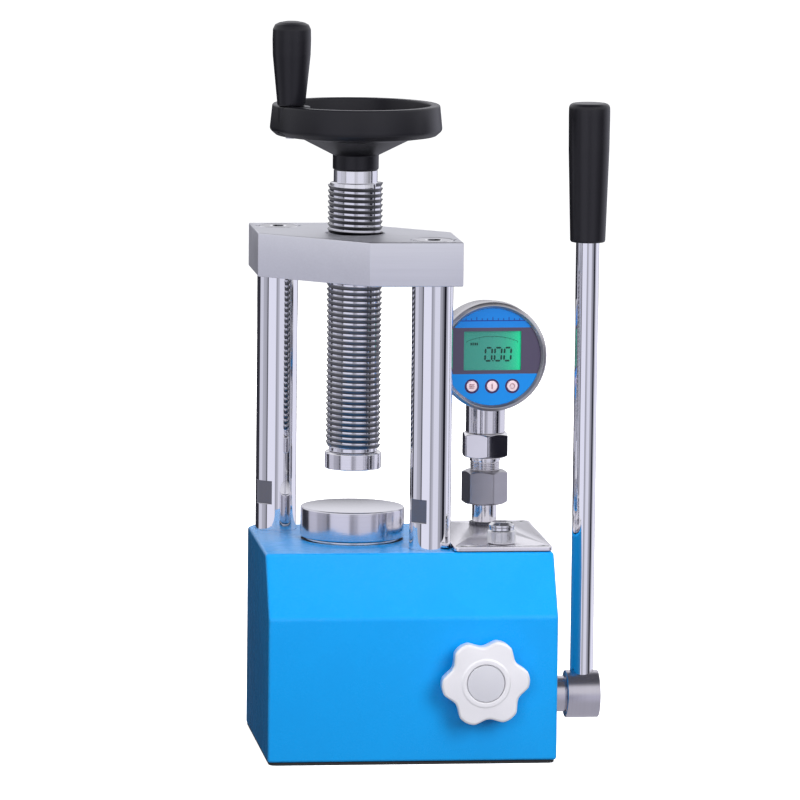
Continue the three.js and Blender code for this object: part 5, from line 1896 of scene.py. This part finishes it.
@dataclass
class Gauge:
    """The digital gauge: bezel, case, dial, display and buttons."""

    turn: float = math.radians(2.5)
    front: float = 30.0
    bezel: float = 40.5
    bezel_window: float = 35.9
    bezel_lip: float = 3.0
    bezel_depth: float = 14.0
    case: float = 38.0
    wall: float = 2.5
    case_back: float = 10.0
    dial_thickness: float = 1.5
    window: tuple[float, float, float, float] = (-21.3, -10.1, 21.4, 18.7)
    band_low: float = -12.8
    band_high: float = 21.4
    button: float = 4.0
    button_ring: float = 5.35
    button_drop: float = 21.9
    button_pitch: float = 15.1
    digit_width: float = 4.9
    digit_height: float = 9.6
    digit_gap: float = 7.1
    digit_line: float = 1.35
    digit_trim: float = 0.45
    digits_left: float = -5.3
    digits_low: float = -3.3
    digits: int = 3

    def build(self, shop: Workshop) -> None:
        """Build the whole gauge."""
        stem, case = Box.of("gauge_stem"), Box.of("gauge_bezel")
        self.centre = Vector((stem.centre.x, stem.centre.y, case.centre.z))
        self.place = Matrix.Translation(self.centre) @ Matrix.Rotation(self.turn, 4, "Z")
        middle = self.place @ Vector((0.0, -self.front * MM, 0.0))
        ring = Turned("bezel_satin", (0.64, 0.63, 0.65), 0.26, 0.35, 1500.0, Axis.Y, tuple(middle), 0.06)
        self._housing(shop, ring)
        self._dial(shop)
        self._display(shop)
        self._buttons(shop)

    def _facing(self) -> Matrix:
        """The place on the gauge's axis that turns local Z to the front."""
        return self.place @ FACE_FRONT

    def _housing(self, shop: Workshop, finish: Turned) -> None:
        """The bezel, the case and its back."""
        lip = self.front - self.bezel_lip
        back = self.front - self.bezel_depth
        bezel = rounded([
            (self.bezel_window, lip, 0.2), (self.case + 0.3, lip), (self.case + 0.3, back),
            (self.bezel, back, 0.8), (self.bezel, self.front - 1.6, 2.2),
            (self.bezel - 2.6, self.front, 1.8),
            (self.bezel_window + 1.6, self.front - 0.5, 0.6), (self.bezel_window, self.front - 2.2, 0.6),
        ], closed=True, steps=5)
        shop.turned(
            "bezel", bezel, 192, self._facing(), finish, "frame", "satin_aluminium", "gauge_bezel"
        )
        inner = self.case - self.wall
        front = lip - 0.3 - self.dial_thickness - 0.3
        shell = rounded([
            (0, -self.case_back), (self.case, -self.case_back, 1.2), (self.case, front), (inner, front),
            (inner, -self.case_back + self.wall), (0, -self.case_back + self.wall),
        ])
        shop.turned(
            "case", shell, 160, self._facing(), finish, "frame", "satin_aluminium", "gauge_case"
        )
        start = -self.case_back - 0.3
        cover = rounded([(0, start), (self.case - 1.5, start), (self.case - 1.5, start - 2.9, 1.2),
                         (28.0, start - 2.9, 0.4), (27.0, start - 2.3, 0.4), (0, start - 2.3)])
        shop.turned(
            "back", cover, 128, self._facing(), finish, "frame", "satin_aluminium",
            "gauge_back_cover",
        )

    def _dial(self, shop: Workshop) -> None:
        """The printed dial with its window and button holes, and the marks on it."""
        front = self.front - self.bezel_lip - 0.3
        left, low, right, high = self.window
        window = rounded([(left, low, 0.8), (left, high, 0.8), (right, high, 0.8), (right, low, 0.8)],
                         closed=True)
        holes = [window]
        for step in (-1, 0, 1):
            holes.append(circle(self.button + 0.3, 48, (step * self.button_pitch, -self.button_drop), True))
        film = DialFilm("dial_film", self.centre.z, self.band_low * MM, self.band_high * MM)
        disc = Shape().plate(circle(self.case, 160), holes, front - self.dial_thickness, front)
        shop.piece("dial", disc.mesh("dial", self._facing()), film, "frame", ["dial_plate"])
        marks = Shape()
        marks.plate(rectangle(-24.0, 26.2, 24.0, 26.9, 0.15), [], front, front + 0.06)
        for index in range(13):
            x = -24.0 + index * 4.0
            tall = 2.3 if index % 3 == 0 else 1.4
            marks.plate(rectangle(x - 0.32, 26.9, x + 0.32, 26.9 + tall, 0.1), [], front, front + 0.06)
        ink = Moulded("dial_ink", (0.010, 0.035, 0.240), 0.35, 0.05)
        shop.piece("dial_marks", marks.mesh("dial_marks", self._facing()), ink, "frame")
        rings = Shape()
        for step in (-1, 0, 1):
            centre = (step * self.button_pitch, -self.button_drop)
            rings.plate(circle(self.button_ring, 64, centre), [circle(self.button + 0.3, 64, centre, True)],
                        front, front + 0.12)
        dark = Moulded("button_ring", (0.040, 0.014, 0.075), 0.4, 0.1)
        shop.piece("button_rings", rings.mesh("button_rings", self._facing()), dark, "frame")

    def _display(self, shop: Workshop) -> None:
        """The lit display, its digits and scale, and the clear window over them."""
        front = self.front - self.bezel_lip - 0.3
        left, low, right, high = self.window
        lit = front - self.dial_thickness - 0.3
        edge = 3.0
        panel = rectangle(left - edge, low - edge, right + edge, high + edge, 0.8)
        sides = [(self.place @ Vector((x * MM, -lit * MM, 0.0))).x for x in (left, right)]
        light = Backlight("display_light", sides[0], sides[1])
        mesh = Shape().plate(panel, [], lit - 3.0, lit, 0.3).mesh("panel", self._facing())
        shop.piece("panel", mesh, light, "frame", ["display_module"])
        ink = Moulded("display_ink", (0.006, 0.036, 0.030), 0.5, 0.05)
        signs = self._digits(lit)
        self._scale(signs, lit)
        shop.piece("display_signs", signs.mesh("display_signs", self._facing()), ink, "frame")
        clear = rectangle(left + 0.3, low + 0.3, right - 0.3, high - 0.3, 0.6)
        mesh = Shape().plate(clear, [], front - self.dial_thickness + 0.25, front - 0.3, 0.2, 2)
        shop.piece("window", mesh.mesh("window", self._facing()), ClearWindow(), "frame",
                   ["display_window"])

    def _digits(self, lit: float) -> Shape:
        """The digits 0.00 in seven-segment form, leaning a little."""
        shape = Shape()
        wide, tall = self.digit_width, self.digit_height
        segments = (
            ((0, tall), (wide, tall)), ((wide, tall), (wide, tall / 2)), ((wide, tall / 2), (wide, 0)),
            ((0, 0), (wide, 0)), ((0, 0), (0, tall / 2)), ((0, tall / 2), (0, tall)),
        )
        for place in range(self.digits):
            left = self.digits_left + place * self.digit_gap
            for (x0, y0), (x1, y1) in segments:
                trim = Vector((x1 - x0, y1 - y0)).normalized() * self.digit_trim
                start = self._lean(left + x0 + trim.x, y0 + trim.y)
                end = self._lean(left + x1 - trim.x, y1 - trim.y)
                shape.bar(start, end, self.digit_line, lit + 0.01, lit + 0.07)
        dot = self._lean(self.digits_left + self.digit_gap - 1.1, 0.0)
        shape.plate(circle(0.6, 16, dot), [], lit + 0.01, lit + 0.07)
        return shape

    def _lean(self, x: float, y: float) -> Point:
        """A point of a digit, leant to the right."""
        return x + 0.06 * y, self.digits_low + y

    def _scale(self, shape: Shape, lit: float) -> None:
        """The thin arc over the digits, with its ticks and a small bar at its left."""
        radius, centre = 50.0, (0.0, -35.2)
        first, last = math.radians(112.5), math.radians(67.5)
        outer = arc(centre, radius + 0.14, last, first, 40)
        inner = arc(centre, radius - 0.14, first, last, 40)
        shape.plate(outer + inner, [], lit + 0.01, lit + 0.06)
        for index in range(13):
            angle = first + (last - first) * index / 12
            reach = 1.5 if index % 3 == 0 else 0.8
            inside = arc(centre, radius - reach, angle, angle, 1)[0]
            outside = arc(centre, radius, angle, angle, 1)[0]
            shape.bar(inside, outside, 0.22, lit + 0.01, lit + 0.06)
        for index in range(4):
            x = -16.2 + index * 1.5
            shape.plate(rectangle(x, 8.2, x + 1.1, 10.2, 0.1), [], lit + 0.01, lit + 0.06)

    def _buttons(self, shop: Workshop) -> None:
        """The three buttons, each with a plain sign."""
        pale = Moulded("button_pale", (0.80, 0.62, 0.68), 0.45, 0.15)
        ink = Moulded("button_sign", (0.30, 0.02, 0.06), 0.5, 0.1)
        front = self.front - self.bezel_lip - 0.3
        for step, side, sign in ((-1, "left", Sign.BARS), (0, "middle", Sign.LINE), (1, "right", Sign.RING)):
            node = f"gauge_button_{side}"
            body = f"button_{side}"
            x, y = step * self.button_pitch, -self.button_drop
            key = rounded([(0, front - 4.4), (self.button, front - 4.4), (self.button, front + 0.6, 0.7),
                           (0, front + 0.6)])
            place = self._facing() @ at(x * MM, y * MM, 0.0)
            mesh = Shape().lathe(key, 64).mesh(f"key_{side}", place)
            shop.piece(f"key_{side}", mesh, pale, body, [node])
            mesh = self._sign(sign, front + 0.6).mesh(f"sign_{side}", place)
            shop.piece(f"sign_{side}", mesh, ink, body)

    @staticmethod
    def _sign(sign: Sign, level: float) -> Shape:
        """A plain sign that lies on a button."""
        low, high = level - 0.05, level
        shape = Shape()
        if sign is Sign.BARS:
            for y in (-1.2, 0.0, 1.2):
                shape.plate(rectangle(-2.0, y - 0.36, 2.0, y + 0.36, 0.1), [], low, high)
        elif sign is Sign.LINE:
            shape.plate(rectangle(-0.42, -2.0, 0.42, 2.0, 0.1), [], low, high)
        else:
            shape.plate(circle(2.05, 40), [circle(1.35, 40, clockwise=True)], low, high)
        return shape


# ---- pump lever


@dataclass
class Lever:
    """The pump lever: socket, rod and grip."""

    neck: float = 13.2
    edge: float = 0.9
    face_groove: float = 12.0
    shaft: float = 8.3
    shaft_depth: float = 17.3
    rod_hole: float = 8.65
    rod_seat: float = 9.0
    pin: float = 2.0
    grip_foot: float = 12.7
    grip_head: float = 15.1
    bore: float = 8.8

    def build(self, shop: Workshop) -> None:
        """Build the three visible pieces."""
        self._socket(shop)
        rod, grip = Box.of("lever_rod"), Box.of("lever_grip")
        centre = (rod.centre.x, rod.centre.y, 0.0)
        chrome = Turned("lever_chrome", (0.88, 0.88, 0.90), 0.035, 0.012, 900.0, Axis.Z, centre, 0.02)
        radius, length = rod.radius, rod.height
        profile = rounded([(0, 0), (radius, 0, 0.6), (radius, length, 2.0), (0, length)])
        shop.turned("rod", profile, 96, rod.foot, chrome, "lever", "chrome", "lever_rod")
        length = grip.height
        inside = (rod.high.z - grip.low.z) / MM + 0.3
        profile = rounded([
            (0, inside), (self.bore, inside), (self.bore, 0), (self.grip_foot - 0.3, 0, 1.2),
            (self.grip_foot + 0.2, 1.6, 2.0), (self.grip_head - 0.25, 0.66 * length, 60.0),
            (self.grip_head, length - 9.0, 20.0), (self.grip_head - 0.1, length - 0.4, 4.6), (0, length),
        ], steps=6)
        mesh = Shape().lathe(profile, 96).mesh("grip", grip.foot)
        plastic = Moulded("grip_moulding", (0.0060, 0.0056, 0.0080), 0.32, 0.2, 1500.0, 0.42)
        shop.piece("grip", mesh, plastic, "lever", ["lever_grip"])

    def _socket(self, shop: Workshop) -> None:
        """The turned hub that holds the rod, with its neck towards the casting."""
        box, rod = Box.of("lever_socket"), Box.of("lever_rod")
        radius, length = box.size.z / 2 / MM, box.size.x / MM
        hub = (rod.centre.x - box.low.x) / MM
        start = hub - (length - hub)
        profile = rounded([
            (0, 0), (self.neck, 0, 0.5), (self.neck, start - 0.8, 0.3), (self.face_groove, start - 0.8, 0.1),
            (self.face_groove, start, 0.1), (radius, start, self.edge),
            (radius, length, self.edge), (0, length),
        ])
        along = at(box.low.x, box.centre.y, box.centre.z) @ FACE_RIGHT
        mesh = Shape().lathe(profile, 144).mesh("socket", along)
        drills = [
            Shape().lathe([(0, -1), (self.shaft, -1), (self.shaft, self.shaft_depth), (0, self.shaft_depth)],
                          64).mesh("shaft_tool", along),
            Shape().lathe([(0, self.rod_seat), (self.rod_hole, self.rod_seat), (self.rod_hole, 40), (0, 40)],
                          96).mesh("rod_tool", at(rod.centre.x, rod.centre.y, box.centre.z)),
            Shape().lathe([(0, -40), (self.pin + 0.2, -40), (self.pin + 0.2, 40), (0, 40)], 32).mesh(
                "pin_tool", at(Box.of("lever_pin").centre.x, box.centre.y, box.centre.z)),
        ]
        steel = Turned("socket_stainless", (0.62, 0.60, 0.65), 0.22, 0.45, 1500.0, Axis.X,
                       (0.0, box.centre.y, box.centre.z))
        shop.piece("socket", cut("socket", mesh, drills), steel, "lever", ["lever_socket"])


# ---- release valve


@dataclass
class ReleaseValve:
    """The star knob on its spindle, and the gland it works in."""

    outer: float = 32.0
    scallop: float = 4.9
    half_scallop: float = math.radians(19.5)
    lobes: int = 6
    turn: float = math.radians(5.0)
    depth: float = 13.0
    edge: float = 1.1
    hub: float = 10.0
    bore: float = 5.3
    cap: float = 13.4
    recess: float = 13.8
    recess_depth: float = 3.0
    rim: float = 16.8

    def build(self, shop: Workshop) -> None:
        """Build the knob, its cap and the gland."""
        spot = Box.of("release_knob")
        centre = Box.of("knob_cap").centre
        self.place = at(centre.x, 0.0, centre.z) @ FACE_FRONT
        self.front = -spot.low.y / MM
        self.back = -spot.high.y / MM
        satin = Blasted("knob_satin", (0.95, 0.94, 0.98), 0.36, 0.22, 2100.0, 0.35)
        plate = Shape().revolve(self._profile, self._angles()).mesh("knob", self.place)
        shop.piece("knob", plate, satin, "release_knob", ["release_knob"])
        low, high = self.front - self.recess_depth + 0.3, self.front - 0.35
        disc = rounded([(0, low), (self.cap, low), (self.cap, high, 0.5), (0, high + 0.15)])
        mesh = Shape().lathe(disc, 128).mesh("knob_disc", self.place)
        cap = Blasted("knob_disc_satin", (0.80, 0.80, 0.85), 0.40, 0.22, 2100.0, 0.45)
        shop.piece("knob_disc", mesh, cap, "release_knob", ["knob_cap"])
        self._gland(shop)

    def _angles(self) -> list[float]:
        """Angles round the knob, closer together at the edges of each scallop."""
        angles = []
        sixth = TURN / self.lobes
        for lobe in range(self.lobes):
            middle = self.turn + (lobe + 0.5) * sixth
            for step in range(-10, 11):
                angles.append(middle + self.half_scallop * step / 10)
            gap = sixth / 2 - self.half_scallop
            for step in range(1, 8):
                angles.append(middle + self.half_scallop + 2 * gap * step / 8)
        return angles

    def _radius(self, angle: float) -> float:
        """The knob's outline: lobes on a circle, hollowed between them."""
        sixth = TURN / self.lobes
        offset = (angle - self.turn) % sixth - sixth / 2
        share = min(1.0, abs(offset) / self.half_scallop)
        hollow = self.scallop * math.cos(share * TURN / 4) ** 1.15 if share < 1.0 else 0.0
        crown = 0.0
        if share >= 1.0:
            over = (abs(offset) - self.half_scallop) / (sixth / 2 - self.half_scallop)
            crown = 0.7 * math.sin(over * TURN / 4)
        return self.outer - 0.7 - hollow + crown

    def _profile(self, angle: float) -> list[Point]:
        """The knob's section at an angle, from its bore to its recess."""
        radius = self._radius(angle)
        low, high = self.front - self.depth, self.front
        face = high - 0.9
        return rounded([
            (self.bore, self.back), (self.hub, self.back, 0.4), (self.hub, low),
            (radius - 0.3, low, self.edge), (radius, high - 2.0, self.edge), (radius - 1.6, face, 0.8),
            (self.rim + 1.2, face + 0.25, 0.8), (self.rim, high, 0.5), (self.recess + 0.5, high, 0.3),
            (self.recess, high - 0.5), (self.recess, high - self.recess_depth),
            (self.bore, high - self.recess_depth), (self.bore, self.back),
        ], steps=4)[:-1]

    def _gland(self, shop: Workshop) -> None:
        """The gland nut in the front of the casting."""
        box = Box.of("valve_gland")
        nose = box.radius
        back, front = -box.high.y / MM, -box.low.y / MM
        face = front - 6.0

        def profile(angle: float) -> list[Point]:
            radius = min(nose, hexagon_radius(angle, nose * 0.9))
            return [(self.bore, back), (8.0, back), (8.0, face), (radius, face), (radius, front - 0.6),
                    (radius - 0.6, front), (self.bore, front)]

        steel = Turned("gland_steel", (0.55, 0.55, 0.57), 0.25, 0.3, 1500.0, Axis.Y, tuple(box.centre))
        mesh = Shape().revolve(profile, hexagon_angles(96)).mesh("gland", self.place)
        shop.piece("gland", mesh, steel, "frame", ["valve_gland"])


# ---- studio


@dataclass
class Studio:
    """The floor, the lights and the camera."""

    azimuth: float = math.radians(6.80)
    elevation: float = math.radians(7.42)
    roll: float = math.radians(0.63)
    distance: float = 4.7274
    target: tuple[float, float, float] = (0.02896, -0.04503, 0.25766)
    lens: float = 293.69
    sensor: float = 36.0
    floor_size: float = 60.0
    floor_glow: float = 0.95
    even: Colour = (0.95, 0.96, 1.0)
    even_strength: float = 0.13
    layers: tuple[tuple[Colour, float, float], ...] = (
        ((0.95, 0.95, 1.0), -0.04, 0.24), ((0.55, 0.55, 0.62), -0.26, -0.60),
        ((0.12, 0.12, 0.14), 0.66, 0.82),
    )
    panel_blur: float = 1.5
    aim: tuple[float, float, float] = (0.03, 0.0, 0.25)
    lamps: tuple[tuple[str, tuple[float, float, float], Point, float], ...] = (
        ("key", (1.0, -2.2, 1.2), (1.2, 1.4), 42.0), ("fill", (-0.6, -2.4, 0.8), (1.2, 1.2), 20.0),
        ("top", (0.2, -0.2, 1.9), (1.6, 1.6), 24.0), ("back", (0.5, 2.4, 1.1), (1.4, 1.4), 40.0),
    )
    panels: tuple[tuple[float, float, float], ...] = (
        (-180.0, -172.0, 0.16), (-172.0, -112.0, 0.035), (-112.0, -84.0, 0.66), (-84.0, -68.0, 0.46),
        (-68.0, -57.0, 0.40), (-57.0, -50.0, 0.09), (-50.0, -5.0, 0.84), (-5.0, 4.0, 0.36),
        (4.0, 13.0, 0.50), (13.0, 44.0, 0.76), (44.0, 58.0, 0.40), (58.0, 69.0, 0.22),
        (69.0, 85.0, 0.012), (85.0, 98.0, 0.46), (98.0, 150.0, 0.85), (150.0, 180.0, 0.28),
    )

    def build(self) -> None:
        """Set up the whole studio."""
        bpy.context.scene.view_settings.view_transform = "Standard"
        self._camera()
        self._floor()
        self._world()
        self._lamps()

    def _camera(self) -> None:
        """The camera, at the height and side that the press is seen from."""
        data = bpy.data.cameras.new("camera")
        data.lens = self.lens
        data.sensor_width = self.sensor
        data.clip_end = 100.0
        camera = bpy.data.objects.new("camera", data)
        flat = math.cos(self.elevation)
        back = Vector((-math.sin(self.azimuth) * flat, -math.cos(self.azimuth) * flat,
                       math.sin(self.elevation)))
        right = (-back).cross(Vector((0, 0, 1))).normalized()
        up = right.cross(-back)
        side = right * math.cos(self.roll) + up * math.sin(self.roll)
        top = up * math.cos(self.roll) - right * math.sin(self.roll)
        basis = Matrix((side, top, back)).transposed().to_4x4()
        camera.matrix_world = Matrix.Translation(Vector(self.target) + back * self.distance) @ basis
        bpy.context.scene.collection.objects.link(camera)
        bpy.context.scene.camera = camera

    def _floor(self) -> None:
        """A wide pale floor."""
        half = self.floor_size / 2
        mesh = bpy.data.meshes.new("floor")
        mesh.from_pydata([(-half, -half, 0), (half, -half, 0), (half, half, 0), (-half, half, 0)], [],
                         [(0, 1, 2, 3)])
        floor = bpy.data.objects.new("floor", mesh)
        surface = Surface("floor_white")
        surface.set(Base_Color=(0.90, 0.90, 0.90, 1.0), Roughness=0.9, Specular_IOR_Level=0.1,
                    Emission_Color=(1.0, 1.0, 1.0, 1.0), Emission_Strength=self.floor_glow)
        mesh.materials.append(surface.material)
        bpy.context.scene.collection.objects.link(floor)
        floor.visible_glossy = False
        floor.visible_diffuse = False

    def _world(self) -> None:
        """A white surround, with upright panels round it for bright metal to reflect."""
        world = bpy.data.worlds.new("surround")
        world.use_nodes = True
        world.node_tree.nodes.clear()
        graph = Graph(world.node_tree)
        direction = graph.add("ShaderNodeTexCoord").outputs["Generated"]
        split = graph.add("ShaderNodeSeparateXYZ", inputs={0: direction})
        across, along, height = [Value(graph, socket) for socket in split.outputs]
        bearing = across.math("ARCTAN2", along * -1.0) + self.azimuth
        share = (bearing / TURN + 0.5).math("FRACT")
        stops = [((bearing_stop + 180.0) / 360.0, colour) for bearing_stop, colour in self._panels()]
        panels = graph.add("ShaderNodeValToRGB", {"stops": stops}, {0: share})
        colour = panels.outputs[0]
        for layer, clear_at, full_at in self.layers:
            share = ((height - clear_at) / (full_at - clear_at)).clamp()
            mix = graph.add("ShaderNodeMix", {"data_type": "RGBA"},
                            {"Factor": share, 6: colour, 7: (*layer, 1.0)})
            colour = mix.outputs[2]
        path = graph.add("ShaderNodeLightPath")
        sheen = graph.add("ShaderNodeBackground", inputs={0: colour, 1: 1.0})
        even = graph.add("ShaderNodeBackground", inputs={0: (*self.even, 1.0), 1: self.even_strength})
        white = graph.add("ShaderNodeBackground", inputs={0: (1.0, 1.0, 1.0, 1.0), 1: 1.0})
        lit = graph.add("ShaderNodeMixShader", inputs={0: path.outputs["Is Glossy Ray"], 1: even.outputs[0],
                                                       2: sheen.outputs[0]})
        seen = graph.add("ShaderNodeMixShader", inputs={0: path.outputs["Is Camera Ray"], 1: lit.outputs[0],
                                                        2: white.outputs[0]})
        output = graph.add("ShaderNodeOutputWorld")
        world.node_tree.links.new(seen.outputs[0], output.inputs[0])
        bpy.context.scene.world = world

    def _panels(self) -> list[tuple[float, Colour]]:
        """The panels, as bearings in degrees to the right of the camera and their colours."""
        stops: list[tuple[float, Colour]] = []
        for start, end, level in self.panels:
            tint = (level * 0.97, level * 0.97, min(1.0, level * 1.13 + 0.006))
            stops += [(start + self.panel_blur, tint), (end - self.panel_blur, tint)]
        return stops

    def _lamps(self) -> None:
        """Soft rectangular lamps, which bright metal does not show."""
        for name, place, size, power in self.lamps:
            data = bpy.data.lights.new(name, "AREA")
            data.shape = "RECTANGLE"
            data.size, data.size_y = size
            data.energy = power
            lamp = bpy.data.objects.new(name, data)
            lamp.location = place
            facing = Vector(self.aim) - Vector(place)
            lamp.rotation_euler = facing.to_track_quat("-Z", "Y").to_euler()
            lamp.visible_glossy = False
            bpy.context.scene.collection.objects.link(lamp)


# ---- the press


def dress_inner(shop: Workshop, frame: dict[str, Any]) -> None:
    """Give the CAD pieces that are carried over their finishes."""
    ground = Turned("inner_steel", (0.55, 0.55, 0.58), 0.28, 0.3, 1300.0)
    black = Blasted("inner_black", (0.08, 0.08, 0.09), 0.4)
    brass = Turned("bush_brass", (0.70, 0.50, 0.20), 0.28, 0.3, 1400.0, Axis.X)
    rubber = Moulded("inner_rubber", (0.02, 0.02, 0.022), 0.7)
    board = Moulded("board_green", (0.015, 0.13, 0.05), 0.45, 0.3, 900.0)
    shop.dress(frame, ground, "pump_shaft", "pump_plunger", "pump_block", "valve_spindle", "valve_ball",
               "handle_spindle")
    shop.dress(frame, black, "foot_set_screw", "lever_pin")
    shop.dress(frame, brass, "shaft_bush")
    shop.dress(frame, rubber, "ram_seal")
    shop.dress(frame, board, "circuit_board")


def main() -> None:
    """Load the frame, set up the studio, build every piece in order and dress the pieces carried over."""
    logging.basicConfig(level=logging.INFO, format="%(name)s %(message)s")
    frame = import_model()
    shop = Workshop()
    Studio().build()
    for part in (Base(), Uprights(), LeadScrew(), Handwheel(), Ram(), Cover(), Riser(), Gauge(), Lever(),
                 ReleaseValve()):
        log.info("building %s", type(part).__name__)
        part.build(shop)
    dress_inner(shop, frame)


if __name__ == "__main__":
    main()
